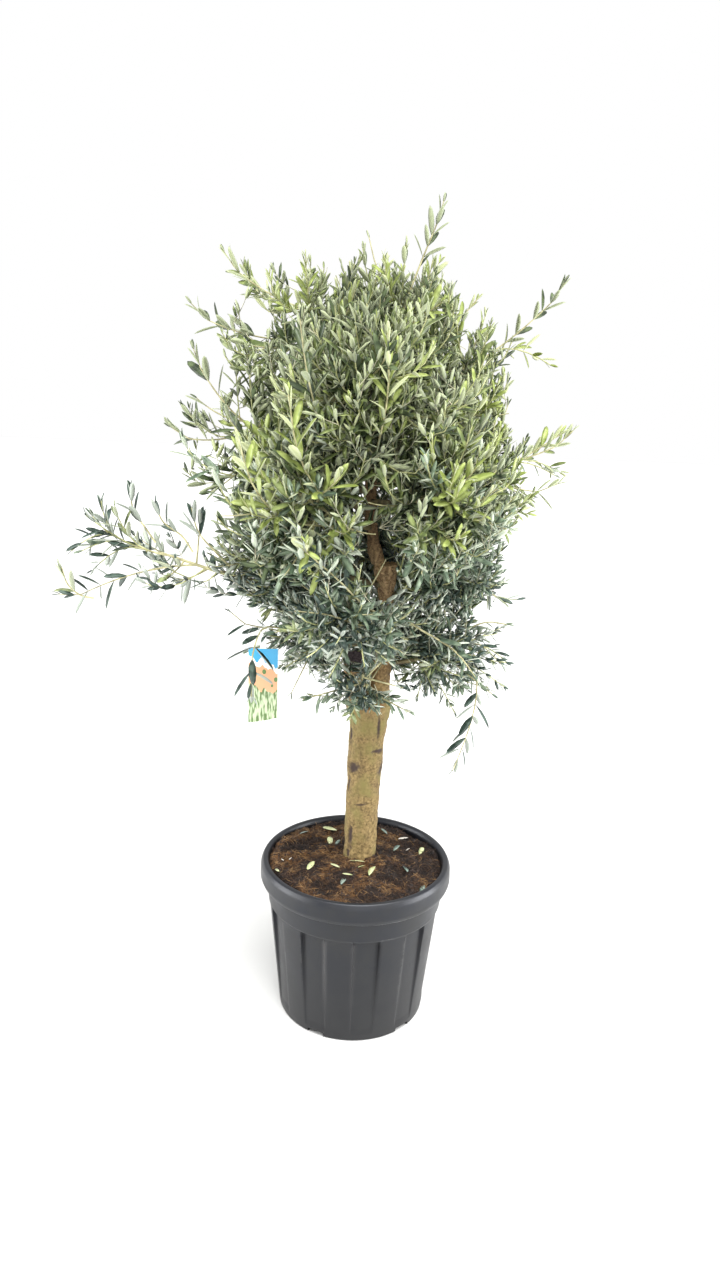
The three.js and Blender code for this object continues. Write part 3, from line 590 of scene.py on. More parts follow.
class Joints:
    """Where a new twig may spring from: points along the limbs that are there."""

    def __init__(self, paths):
        shares = np.linspace(0.1, 0.95, 14)
        self.places = np.concatenate([path.at(shares) for path in paths])
        self.ways = np.concatenate([path.heading(shares) for path in paths])
        self.tree = kdtree.KDTree(len(self.places))
        for i, place in enumerate(self.places):
            self.tree.insert(place, i)
        self.tree.balance()

    def twig_to(self, end, order, rng):
        """The twig to an end from the limb that can best put it out, or None where none can."""
        near = [i for _, i, _ in self.tree.find_range(end, 2 * order.reach)]
        if not near:
            return None
        line = end - self.places[near]
        far = np.linalg.norm(line, axis=1)
        line /= np.maximum(far, 1e-6)[:, None]
        lean = np.einsum("ij,ij->i", line, self.ways[near])
        rise = rise_at(end[2])
        cost = np.abs(far - order.reach) + 0.04 * np.abs(lean - 0.75) + 0.5 * (lean < 0.25)
        cost += 0.08 * rise * np.clip(0.6 - line[:, 2], 0, 1.6)
        best = int(np.argmin(cost))
        if lean[best] < 0.1 or far[best] < 0.3 * order.reach:
            return None
        arrive = unit(line[best] + UP * (order.climb * rise - 0.1) + rng.normal(0, 0.15, 3))
        path = bent(self.places[near[best]], end, end - arrive * 0.5 * far[best], 10)
        return Shoot(path, order.radii, rng.random(), False, order.rank)


def side_twigs(name, seed, stem, shoots):
    """The leafy side twigs of a mass, whose ends stand evenly over its outside."""
    rng = np.random.default_rng(1000 + seed)
    mass = MASSES[name]
    middle, half = np.array(mass.middle), np.array(mass.half)
    count = int(SIDE_COUNT * FULLNESS.get(name, 1) * (np.prod(half) / 0.0028) ** 0.8)
    joints = Joints([stem, *[shoot.path for shoot in shoots if not shoot.long]])
    made = [sprig for shoot in shoots for sprig in sprigs_of(shoot, rng)]
    for i in range(count):
        way = ball_way(i, count, i * GOLDEN + 0.7 * rng.random() + seed)
        depth = np.interp(i * 0.618 % 1, (0, 0.5, 1), (SIDE_DEPTHS[0], 0.98, SIDE_DEPTHS[1]))
        end = middle + way * half * depth
        if in_cell(end, mass, -OPEN_EDGE):
            made.append(joints.twig_to(end, SIDE, rng))
    return [twig for twig in made if twig]


def fine_twigs():
    """The finest twigs, whose ends fill the crown evenly. Each belongs to the mass that it ends in."""
    rng = np.random.default_rng(77)
    joints = Joints([path for name in MASSES for path in
                     (ROUTES[name][1], *[s.path for s in SHOOTS[name] if not s.long],
                      *[s.path for s in SIDE_TWIGS[name] if not s.long])])
    names = list(MASSES)
    middles = np.array([MASSES[name].middle for name in names])
    halves = np.array([MASSES[name].half for name in names])
    low, high = (middles - halves).min(0), (middles + halves).max(0)
    # an additive sequence, which spaces points evenly in three directions
    step = 1 / 1.2207440846 ** np.arange(1, 4)
    made = {name: [] for name in names}
    for i in range(FINE_TRIES):
        end = low + (high - low) * ((0.5 + step * i) % 1)
        depths = np.linalg.norm((end - middles) / halves, axis=1)
        k = int(depths.argmin())
        hollow = np.linalg.norm((end - CROWN_HEART) / HEART_HALF) < 1
        share = FULLNESS.get(names[k], 1) * (HEART_FULLNESS if hollow else 1)
        if depths[k] > FINE_REACH or rng.random() > share:
            continue
        twig = joints.twig_to(end, FINE, rng)
        if twig:
            made[names[k]].append(twig)
    return made


# Long shoots that run out beyond the others: the mass each belongs to, its side sprigs, and the points of
# its line in millimetres.
RUNNER_RADII = (0.0020, 0.0012)
RUNNERS = [
    ("low_left", 0, (-150, -70, 850), (-190, -115, 860), (-206, -128, 815), (-208, -130, 732)),
    ("middle_front", 0, (36, -150, 900), (-3, -180, 928), (-51, -230, 984), (-117, -270, 1048)),
    ("middle_front", 0, (50, -140, 885), (-7, -175, 890), (-63, -215, 917), (-122, -250, 931)),
    ("low_right", 0, (50, -130, 905), (95, -160, 885), (162, -180, 850), (205, -190, 800)),
    ("low_right", 3, (110, -20, 790), (165, -20, 815), (222, -20, 820), (272, -20, 780)),
    ("low_right", 2, (120, -30, 815), (180, -20, 840), (235, -20, 865), (275, -20, 862)),
    ("front_right", 0, (50, -60, 1050), (105, -150, 1085), (160, -220, 1110), (205, -250, 1150)),
    ("front_left", 0, (-30, -120, 1080), (-80, -220, 1120), (-120, -275, 1200), (-135, -290, 1290)),
    ("front_left", 0, (-50, -140, 1060), (-140, -220, 1080), (-190, -270, 1140), (-215, -285, 1220)),
    ("top_front", 0, (0, -130, 1180), (10, -220, 1220), (20, -270, 1300), (15, -285, 1385)),
    ("top_front", 0, (-60, -130, 1200), (-90, -220, 1250), (-110, -270, 1330), (-120, -280, 1400)),
    ("top_right", 2, (100, 10, 1330), (125, 0, 1395), (155, 0, 1430), (178, 0, 1458)),
    ("upper_right", 1, (230, 0, 1160), (280, 0, 1180), (320, 0, 1205), (350, 0, 1228)),
    ("far_left", 0, (-330, -45, 985), (-350, -45, 1015), (-385, -45, 1040), (-400, -45, 1075)),
    ("far_left", 0, (-400, -45, 1000), (-420, -45, 1030), (-440, -45, 1060), (-446, -45, 1100)),
    ("far_left", 0, (-260, -45, 960), (-290, -45, 990), (-320, -45, 1025), (-332, -45, 1070)),
    ("far_left", 0, (-520, -47, 889), (-545, -50, 895), (-568, -50, 915), (-578, -50, 948)),
]

CROWN_HEART, HEART_HALF = np.array([0.0, 0.0, 1.1]), np.array([0.13, 0.11, 0.30])
HEART_FULLNESS = 0.45


def sprigs_of(shoot, rng):
    """Short side twigs along a long shoot, in turn to one side and the other."""
    made = []
    for i in range(shoot.sprigs):
        share = 0.25 + 0.5 * i / max(shoot.sprigs, 2)
        start, way = shoot.path.at(share), shoot.path.heading(share)
        aside = unit(np.cross(way, [0, 1, 0]) * (1 if i % 2 else -1) + rng.normal(0, 0.35, 3))
        length = (0.090 + 0.03 * rng.random()) * (1.15 - 0.5 * share)
        end = start + unit(way + 0.75 * aside) * length
        path = bent(start, end, start + way * length * 0.4, 8)
        made.append(Shoot(path, SIDE_RADII, rng.random(), True, 2))
    return made


ROUTES = {name: route_of(mass) for name, mass in MASSES.items()}
SHOOTS, SIDE_TWIGS = {}, {}
for number, (name, mass) in enumerate(MASSES.items(), 1):
    SHOOTS[name] = shoots_of(mass, number, ROUTES[name][1])
    SIDE_TWIGS[name] = side_twigs(name, number, ROUTES[name][1], SHOOTS[name])
FINE_TWIGS = fine_twigs()
sprig_rng = np.random.default_rng(31)
for name, sprigs, *points in RUNNERS:
    runner = Shoot(through(np.array(points) / 1000), RUNNER_RADII, 0.1, True, 1, sprigs)
    SHOOTS[name].append(runner)
    SIDE_TWIGS[name] += sprigs_of(runner, sprig_rng)
PROBED = np.linspace(0.25, 1, 6)  # shares of a twig that have to be clear of the limbs
for twigs in (SIDE_TWIGS, FINE_TWIGS):
    for name in MASSES:
        twigs[name] = [twig for twig in twigs[name] if clear_of_limbs(twig.path.at(PROBED)).all()]


# ---------------------------------------------------------------- leaves

# Outlines of the two kinds of leaf: the share of its length, and its half width there.
BROAD_OUTLINE = ((0.12, 0.42), (0.34, 0.92), (0.64, 1.00), (0.88, 0.66))
FINE_OUTLINE = ((0.26, 0.86), (0.72, 0.88))
LEAF_SHAPES = 4

Leaves = namedtuple("Leaves", "base heading facing size shape tint fine")
TINTS = ("young", "olive", "cool", "deep")


def leaves_of(shoot, leaf, vigour, rng, tint):
    """Opposite pairs, each turned a quarter from the one before, on a shoot."""
    length = shoot.path.length
    first = BARE_RUNNER_FOOT if shoot.long and shoot.rank == 1 else BARE_FOOT[shoot.rank]
    spacing = leaf.spacing * vigour * (1.15 if shoot.long else 1)
    pairs = max(2, round(length * (1 - first) / spacing))
    rise = rise_at(shoot.path.at(0.5)[2])
    shares = first + (1 - first) * (np.arange(pairs + 1) + 0.1) / (pairs + 0.3)
    bases, ways = shoot.path.at(shares), shoot.path.heading(shares)
    rows = []
    for i in range(pairs + 1):
        at_tip = i >= pairs - 1
        way = ways[i]
        level = unit(np.cross(way, UP) + 1e-6)
        over = np.cross(way, level)
        turn = 2 * math.pi * shoot.spin + i * math.pi / 2 + rng.normal(0, 0.25)
        grown_size = 0.78 + 0.34 * math.sin(math.pi * min(1, 0.25 + 0.75 * i / pairs))
        for side in (0, math.pi):
            out = level * math.cos(turn + side) + over * math.sin(turn + side)
            opening = LEAF_OPENING["tip" if at_tip else "broad" if leaf is BROAD_LEAF else "fine"]
            open_by = math.radians(rng.normal(opening, LEAF_SPREAD))
            heading = way * math.cos(open_by) + out * math.sin(open_by)
            heading = unit(heading + UP * 0.25 * rise + rng.normal(0, 0.06, 3))
            facing = way * math.sin(open_by) - out * math.cos(open_by)
            if way[2] < 0.1 and facing[2] < -0.1:  # on level and hanging shoots the blades turn over
                facing = -facing
            # blades turn a little to the light
            facing = unit(facing + UP * 0.3 + rng.normal(0, 0.28, 3))
            young = 0.6 if i == pairs else 0.85 if at_tip else 1
            size = grown_size * vigour * young * rng.uniform(0.8, 1.2)
            rows.append((bases[i], heading, facing, size * leaf.length, rng.integers(LEAF_SHAPES), tint,
                         leaf is FINE_LEAF))
    return rows


def droops(shoot):
    """Whether a long shoot hangs low, in the shade."""
    return shoot.long and shoot.rank == 1 and shoot.path.at(1)[2] < DROOP_HEIGHT


def tint_of(shoot, mass, rng):
    """Sprays at the outside are young and yellow-green, those at the heart and more of those on the left
    deep green, and the rest are olive above and cooler below: painted light, olive for sunlit leaves and
    cool green for shaded ones."""
    end = shoot.path.at(1)
    if droops(shoot):
        return TINTS.index("deep")
    depth = depth_in(end, mass)
    high = np.clip((end[2] - SUN_FROM) / SUN_OVER, 0, 1)
    young = (0.40 if depth > 0.85 or shoot.long else 0.12) * (0.25 + 0.75 * high)
    draw = rng.random()
    if draw < young:
        return TINTS.index("young")
    if draw > (0.66 if depth > 0.7 else 0.52) - (0.14 if mass.middle[0] < OLDER_SIDE else 0):
        return TINTS.index("deep")
    return TINTS.index("olive" if rng.random() < high else "cool")


def clear_of_label(points, low, high):
    return ~np.all((points > low) & (points < high), axis=1)


def all_leaves(names, seed):
    """Every leaf of the named masses that is clear of the limbs, their gaps and the label."""
    rng = np.random.default_rng(seed)
    rows = []
    for name in names:
        mass = MASSES[name]
        for shoot in [*SHOOTS[name], *SIDE_TWIGS[name], *FINE_TWIGS[name]]:
            skirt = mass.middle[2] < SKIRT_TOP and shoot.rank == 2 and not shoot.long
            leaf = FINE_LEAF if shoot.rank == 3 or skirt else BROAD_LEAF
            vigour = VIGOUR.get(name, 1.0) * RANK_VIGOUR[1 if skirt else shoot.rank]
            if droops(shoot):
                vigour *= DROOPING_VIGOUR
            rows += leaves_of(shoot, leaf, vigour, rng, tint_of(shoot, mass, rng))
    leaves = Leaves(*[np.array(column) for column in zip(*rows)])
    low, high = (np.array(c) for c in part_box("plant_label"))
    low, high = low + (-0.004, -0.030, -0.004), high + (0.004, 0.004, -0.030)
    box_low, box_high = np.array(CAD_BOX[0]) - 0.012, np.array(CAD_BOX[1]) + 0.012
    free = np.ones(len(rows), bool)
    for share in (0.15, 0.5, 0.8, 1.0):
        points = leaves.base + leaves.heading * (leaves.size * share)[:, None]
        free &= clear_of_limbs(points) & clear_of_label(points, low, high)
        free &= np.all((points > box_low) & (points < box_high), axis=1)
    return Leaves(*[column[free] for column in leaves])


BENDS = ((0.16, 0.05, 0.0), (0.26, -0.03, 0.03), (0.10, 0.13, -0.03), (0.22, 0.02, 0.06))


def broad_blade(shape):
    """A lance-shaped blade one unit long, along +Y with its upper face to +Z, closed, and channelled."""
    keel, arch, sway = BENDS[shape]
    thickness = 0.006
    points = [(0, 0, 0)]
    for along, half in BROAD_OUTLINE:
        x = sway * along * along
        z = -arch * along * along
        edge = half * BROAD_LEAF.width / BROAD_LEAF.length / 2
        lift = keel * edge * 2
        points += [(x - edge, along, z + lift), (x, along, z), (x + edge, along, z + lift)]
        points += [(x, along, z - thickness)]
    points.append((sway, 1, -arch))
    tip = len(points) - 1
    rows = [range(1 + 4 * i, 5 + 4 * i) for i in range(len(BROAD_OUTLINE))]
    left, rib, right, below = rows[0]
    upper, under = [(0, rib, left), (0, right, rib)], [(0, left, below), (0, below, right)]
    for (l0, m0, r0, b0), (l1, m1, r1, b1) in zip(rows, rows[1:]):
        upper += [(l0, m0, m1, l1), (m0, r0, r1, m1)]
        under += [(b0, l0, l1, b1), (r0, b0, b1, r1)]
    left, rib, right, below = rows[-1]
    upper += [(left, rib, tip), (rib, right, tip)]
    under += [(below, left, tip), (right, below, tip)]
    return blade_of(f"broad_{shape}", points, upper, under)


def fine_blade(shape):
    """A small elliptic blade one unit long: a flat upper face over a keeled underside."""
    keel, arch, sway = BENDS[shape]
    points = [(0, 0, 0)]
    for along, half in FINE_OUTLINE:
        x = sway * along
        z = -arch * along * along
        edge = half * FINE_LEAF.width / FINE_LEAF.length / 2
        points += [(x - edge, along, z), (x + edge, along, z), (x, along, z - 0.02 - keel * edge)]
    points.append((sway, 1, -arch))
    l0, r0, b0, l1, r1, b1, tip = range(1, 8)
    upper = [(0, r0, l0), (l0, r0, r1, l1), (l1, r1, tip)]
    under = [(0, l0, b0), (0, b0, r0), (b0, l0, l1, b1), (r0, b0, b1, r1), (b1, l1, tip), (r1, b1, tip)]
    return blade_of(f"fine_{shape}", points, upper, under)


def blade_of(name, points, upper, under):
    mesh = mesh_of(name, points, upper + under)
    store(mesh, "underside", [False] * len(upper) + [True] * len(under), "BOOLEAN", "FACE")
    return mesh


class Growth(Nodes):
    """A tree of geometry nodes with a mesh going in and out, and the named inputs."""

    def __init__(self, name, **sockets):
        super().__init__(bpy.data.node_groups.new(name, "GeometryNodeTree"))
        for label, kind in {"Geometry": "Geometry", **sockets}.items():
            self.tree.interface.new_socket(label, in_out="INPUT", socket_type=f"NodeSocket{kind}")
        self.tree.interface.new_socket("Geometry", in_out="OUTPUT", socket_type="NodeSocketGeometry")
        self.given = self.tree.nodes.new("NodeGroupInput").outputs

    def stored(self, name, kind="FLOAT_VECTOR"):
        return self.add("GeometryNodeInputNamedAttribute", {"Name": name}, "Attribute", data_type=kind)

    def real(self, geometry):
        return self.add("GeometryNodeRealizeInstances", {"Geometry": geometry})

    def dressed(self, geometry, finish, chosen=True):
        return self.add("GeometryNodeSetMaterial",
                        {"Geometry": geometry, "Selection": chosen, "Material": self.given[finish]})

    def ending_in(self, geometry):
        self.node("NodeGroupOutput", {"Geometry": geometry})
        return self.tree


def foliage_growth():
    """Puts a blade on each point, by its heading, facing, size and shape, with a finish for each side."""
    grow = Growth("foliage", Blades="Collection", Upper="Material", Underside="Material")
    blades = grow.add("GeometryNodeCollectionInfo", {
        "Collection": grow.given["Blades"], "Separate Children": True, "Reset Children": True})
    turn = grow.add("FunctionNodeAxesToRotation", {0: grow.stored("heading"), 1: grow.stored("facing")},
                    primary_axis="Y", secondary_axis="Z")
    placed = grow.add("GeometryNodeInstanceOnPoints", {
        "Points": grow.given["Geometry"], "Instance": blades, "Pick Instance": True, "Rotation": turn,
        "Instance Index": grow.stored("shape", "INT"), "Scale": grow.stored("blade_size")})
    upper = grow.dressed(grow.real(placed), "Upper")
    return grow.ending_in(grow.dressed(upper, "Underside", grow.stored("underside", "BOOLEAN")))


def twig_growth():
    """Turns lines into round tapering twigs, by the thickness at each point."""
    grow = Growth("twigs", Sides="Int", Bark="Material")
    lines = grow.add("GeometryNodeMeshToCurve", {"Mesh": grow.given["Geometry"]})
    ring = grow.add("GeometryNodeCurvePrimitiveCircle", {"Resolution": grow.given["Sides"], "Radius": 1.0})
    tubes = grow.add("GeometryNodeCurveToMesh", {
        "Curve": lines, "Profile Curve": ring, "Scale": grow.stored("thickness", "FLOAT"),
        "Fill Caps": True})
    smooth = grow.add("GeometryNodeSetShadeSmooth", {"Geometry": tubes})
    return grow.ending_in(grow.dressed(grow.real(smooth), "Bark"))


def litter_growth():
    """Strews copies of one small shape over a surface, each turned and sized at random."""
    grow = Growth("litter", Shape="Object", Density="Float", Dryness="Float", Least="Float",
                  Greatest="Float", Flatness="Float", Seed="Int", Finish="Material")
    given, seed = grow.given, grow.given["Seed"]
    # it lies in tufts about 20 mm across, others for each seed
    tufts = grow.add("ShaderNodeTexNoise", {"W": seed, "Scale": 1 / (20 * MM), "Detail": 3.0},
                     noise_dimensions="4D")
    density = grow.math("MULTIPLY", grow.ramp(tufts, 0.46, 0.54, 0.04), given["Density"])
    # and thicker on the dry patches, or thinner where its dryness is below 0
    swing = grow.math("MULTIPLY_ADD", grow.dryness(grow.add("GeometryNodeInputPosition")), 2.0, -1.0)
    density = grow.math("MULTIPLY", density, grow.math("MULTIPLY_ADD", swing, given["Dryness"], 1.0))
    strewn = grow.add("GeometryNodeDistributePointsOnFaces",
                      {"Mesh": given["Geometry"], "Density": density, "Seed": seed})
    shape = grow.add("GeometryNodeObjectInfo", {"Object": given["Shape"], "As Instance": True}, "Geometry")
    flat, tilt = given["Flatness"], grow.math("MULTIPLY", given["Flatness"], -1.0)
    low = grow.add("ShaderNodeCombineXYZ", {0: tilt, 1: tilt, 2: 0.0})
    high = grow.add("ShaderNodeCombineXYZ", {0: flat, 1: flat, 2: 2 * math.pi})
    turn = grow.add("FunctionNodeRandomValue", {0: low, 1: high, "Seed": seed}, data_type="FLOAT_VECTOR")
    size = grow.add("FunctionNodeRandomValue", {2: given["Least"], 3: given["Greatest"], "Seed": seed}, 1,
                    data_type="FLOAT")
    placed = grow.add("GeometryNodeInstanceOnPoints",
                      {"Points": strewn, "Instance": shape, "Rotation": turn, "Scale": size})
    return grow.ending_in(grow.dressed(grow.real(placed), "Finish"))


# ---------------------------------------------------------------- finishes


class Finish(Nodes):
    """A material with one shader on its output. Its patterns use Object coordinates."""

    def __init__(self, name, roughness, ior):
        self.material = bpy.data.materials.new(name)
        self.material.use_nodes = True
        super().__init__(self.material.node_tree)
        self.tree.nodes.clear()
        self.shader = self.node("ShaderNodeBsdfPrincipled", {"Roughness": roughness, "IOR": ior})
        self.node("ShaderNodeOutputMaterial", {"Surface": self.shader.outputs["BSDF"]})
        self.place = self.add("ShaderNodeTexCoord", output="Object")

    def blend(self, share, first, second):
        """A mix of two colours, each an sRGB hex value or another node's output."""
        first, second = (linear(c) if isinstance(c, str) else c for c in (first, second))
        return self.add("ShaderNodeMix", {0: share, 6: first, 7: second}, 2, data_type="RGBA")

    def drawn(self, place, scale, turn=0.0):
        """Coordinates scaled along each axis, and turned about Z."""
        return self.add("ShaderNodeMapping", {"Vector": place, "Rotation": (0, 0, turn), "Scale": scale})

    def painted(self, name):
        """An attribute of the mesh, by its name."""
        return self.add("ShaderNodeAttribute", output="Fac", attribute_name=name)

    def relief(self, height, strength, depth):
        """A bump from a height, of a depth in millimetres."""
        return self.add("ShaderNodeBump", {"Height": height, "Strength": strength, "Distance": depth * MM})

    def shaded(self, colour, **inputs):
        """The material, with this colour and these inputs on its shader."""
        self.feed(self.shader, {"Base Color": colour, **inputs})
        return self.material


def mottled(name, colours, roughness, ior, size, detail, spread, grain=0.5, relief=None, sheen=0.0):
    """A finish of two colours that run together in a noise, which can raise a low relief as well."""
    made = Finish(name, roughness, ior)
    mottle = made.noise(made.place, size, detail, grain)
    more = {"Normal": made.relief(mottle, *relief)} if relief else {}
    colour = made.blend(made.ramp(mottle, *spread), *colours)
    return made.shaded(colour, **{"Sheen Weight": sheen}, **more)


def leaf_finish(name, base, shift, roughness, sheen=0.0):
    """Olive leaf: a waxy cuticle above, and a felt of silvery scales below, both a little mottled."""
    return mottled(name, (base, shift), roughness, 1.45, 16, 1.0, (0.40, 0.60), sheen=sheen)


def twig_finish(name, low, high):
    """The thin bark of young olive wood: smooth, satin, and mottled lighter and darker along the twig."""
    return mottled(name, (low, high), 0.6, 1.45, 14, 3.0, (0.35, 0.65), relief=(0.3, 0.4))


def cut_wood_finish():
    """Old sawn end grain, weathered to a purple grey, checked from its heart and dark in the checks."""
    return mottled("weathered_end_grain", ("#453B40", "#7A6C72"), 0.9, 1.5, 6, 5.0, (0.35, 0.65), 0.7,
                   (0.8, 1.0))


def floor_finish():
    """A pale matt studio floor, with a faint unevenness."""
    return mottled("studio_floor", ("#BCBCBA", "#C4C4C3"), 0.9, 1.4, 900, 2.0, (0.0, 1.0))


def bark_finish():
    """Olive bark, grown and weathered: a fine tan grain on the trunk, orange and cracked on the leader."""
    bark = Finish("olive_bark", 0.85, 1.45)
    height = bark.axes(bark.place)[2]
    grain = bark.noise(bark.place, 5, 5.0, 0.65)
    fine = bark.ramp(grain, 0.36, 0.64)
    blotch = bark.ramp(bark.noise(bark.place, 42, 3.0), 0.45, 0.68)
    streak = bark.ramp(bark.noise(bark.drawn(bark.place, (1, 1, 0.22)), 9, 3.0), 0.5, 0.75, 0.0, 0.5)
    tan, orange, pale, brown = (bark.blend(fine, *pair) for pair in (
        ("#524325", "#89744A"), ("#614A2D", "#A2855A"), ("#8A6D4C", "#DDBB8D"), ("#4C3A26", "#8F7452")))
    greened = bark.blend(blotch, tan, "#6F6639")
    # going up, the trunk's tan turns to the leader's orange. Above 0.84 m the orange is painted pale,
    # painted light standing for sun on the leader, and above 0.965 m dark brown, painted shade under the
    # crown
    leader = bark.blend(bark.ramp(height, 0.84, 0.90), orange, pale)
    colour = bark.blend(bark.ramp(height, 0.66, 0.76), greened, leader)
    colour = bark.blend(bark.ramp(height, 0.965, 1.02), colour, brown)
    colour = bark.blend(streak, colour, "#4E3D25")
    # fresh pinkish wood where the trunk's head was sawn
    head = bark.math("MULTIPLY", bark.ramp(height, 0.668, 0.680), bark.ramp(height, 0.686, 0.692, 1.0, 0.0))
    colour = bark.blend(bark.math("MULTIPLY", head, streak), colour, "#B07A58")
    colour = bark.blend(bark.painted("scar"), colour, "#33261F")
    return bark.shaded(colour, Normal=bark.relief(grain, 0.7, 1.2))


def pot_finish():
    """Moulded polypropylene, dark blue grey: a satin skin with a fine grain, dusty, and scuffed pale on
    edges.
    Each flute has a painted highlight on one side, and painted shade, its shine taken off, on the other."""
    pot = Finish("moulded_polypropylene", 0.5, 1.49)
    dust = pot.noise(pot.place, 60, 4.0, 0.6)
    grit = pot.noise(pot.place, 2.4, 4.0, 0.75)
    colour = pot.blend(pot.ramp(pot.axes(pot.place)[2], 0.0, 0.29), "#100F0F", "#101218")
    colour = pot.blend(pot.ramp(dust, 0.38, 0.7), colour, "#191919")
    # painted highlight: the sides of the flutes that face out to the left and right are made paler
    colour = pot.blend(pot.painted("polish"), colour, "#4C4B4A")
    worn = pot.ramp(pot.math("MULTIPLY", pot.painted("scuff"), grit), 0.28, 0.55)
    # painted shade: the sides of the flutes that face the middle lose their shine
    shine = pot.ramp(pot.painted("grime"), 0.0, 1.0, 0.43, 0.16)
    return pot.shaded(pot.blend(worn, colour, "#9C9A98"), Roughness=pot.ramp(dust, 0.3, 0.7, 0.36, 0.50),
                      Normal=pot.relief(grit, 0.25, 0.2),
                      **{"Specular IOR Level": shine, "Specular Tint": (0.93, 0.95, 1.0, 1.0)})


def soil_finish():
    """Potting mix of peat and coir: dark, crumbly and dull, with drier orange-brown patches."""
    soil = Finish("potting_mix", 0.95, 1.4)
    crumb = soil.noise(soil.place, 7, 6.0, 0.75)
    share = soil.ramp(crumb, 0.40, 0.62)
    damp, dry = soil.blend(share, "#090403", "#2B1D14"), soil.blend(share, "#1E1108", "#6A4A2A")
    return soil.shaded(soil.blend(soil.dryness(soil.place), damp, dry), Normal=soil.relief(crumb, 1.0, 4.0))


def label_finish():
    """Printed polypropylene film, satin: a clear white neck, a sky band with a hill line, a clay band with
    rows of round trees, and a meadow of leaning strokes."""
    film = Finish("printed_film", 0.35, 1.49)
    spot = film.add("ShaderNodeUVMap", uv_map="print")
    across, up, _ = film.axes(spot)
    slope = film.math("MULTIPLY_ADD", across, 0.10, up)
    hills = film.add("ShaderNodeTexNoise", {"Vector": spot, "Scale": 5.0, "Detail": 1.0})
    line = film.math("MULTIPLY_ADD", hills, 0.16, slope)
    stretched = film.drawn(spot, (1.0, 2.6, 1.0))
    dots = film.add("ShaderNodeTexVoronoi", {"Vector": stretched, "Scale": 4.5, "Randomness": 0.7})
    clay = film.blend(film.math("LESS_THAN", dots, 0.30), "#DDA37C", "#5F7F46")
    leaning = film.drawn(stretched, (9.0, 2.2, 1.0), math.radians(55))
    strokes = film.add("ShaderNodeTexNoise", {"Vector": leaning, "Scale": 1.5, "Detail": 2.0})
    colour = film.blend(film.ramp(strokes, 0.42, 0.56), "#56703E", "#B9C7A4")
    for level, edge, over in ((line, 0.47, clay), (line, 0.70, "#E9E6E0"), (line, 0.76, "#3C9CCB"),
                              (up, 0.762, "#E4E6E6")):
        colour = film.blend(film.math("GREATER_THAN", level, edge), colour, over)
    return film.shaded(colour)


# ---------------------------------------------------------------- pot


def turned(profile, angles, sunk_at):
    """A closed skin: a profile of (radius, height) turned about Z, whose ends lie on the axis."""
    profile = np.array(profile)
    radius, height = profile[1:-1, 0], profile[1:-1, 1]
    sunk = sunk_at(radius[None, :], height[None, :], angles[:, None])
    reach = radius[None, :] - sunk
    rows, columns = len(radius), len(angles)
    x = reach * np.sin(angles)[:, None]
    y = -reach * np.cos(angles)[:, None]
    z = np.broadcast_to(height, reach.shape)
    points = np.concatenate([np.stack([x, y, z], axis=-1).reshape(-1, 3),
                             [[0, 0, profile[0, 1]], [0, 0, profile[-1, 1]]]])
    first, last = columns * rows, columns * rows + 1
    faces = []
    for i in range(columns):
        here, there = i * rows, (i + 1) % columns * rows
        faces += [(here + j, there + j, there + j + 1, here + j + 1) for j in range(rows - 1)]
        faces += [(first, there, here), (last, here + rows - 1, there + rows - 1)]
    return points, faces


def rounded(profile, radius, steps=4):
    """A profile whose inner corners are rounded, by no more than a third of the lines that meet there."""
    profile = [np.array(p, float) for p in profile]
    made = [profile[0]]
    for a, b, c in zip(profile, profile[1:], profile[2:]):
        back = min(radius, np.linalg.norm(a - b) / 3, np.linalg.norm(c - b) / 3)
        start, end = b + unit(a - b) * back, b + unit(c - b) * back
        for t in np.linspace(0, 1, steps):
            made.append((1 - t) ** 2 * start + 2 * t * (1 - t) * b + t**2 * end)
    return [*made, profile[-1]]


def in_flute(angle):
    """How far into a flute an angle is: 1 on its floor and 0 on the plain wall, with soft sides."""
    share = np.mod(angle / (2 * math.pi) * POT.flutes, 1)
    side = np.clip(np.minimum(share, 0.5 - share) / FLUTE_EDGE, 0, 1)
    return np.where(share < 0.5, side * side * (3 - 2 * side), 0)


def flute_depth(radius, height, angle):
    """A flute is deepest under the ledge and fades towards the foot."""
    share = (height - POT.flute_foot) / (POT.shoulder - 0.004 - POT.flute_foot)
    inside = (share >= 0) & (share <= 1) & (radius > wall_radius(height) - 0.001)
    depth = FLUTE_DEPTH[0] + (FLUTE_DEPTH[1] - FLUTE_DEPTH[0]) * share
    fade = np.clip(share / 0.06, 0, 1)
    return np.where(inside, depth * in_flute(angle) * fade, 0)


def wall_radius(height):
    return POT.foot_radius + (POT.shoulder_radius - POT.foot_radius) * height / POT.shoulder


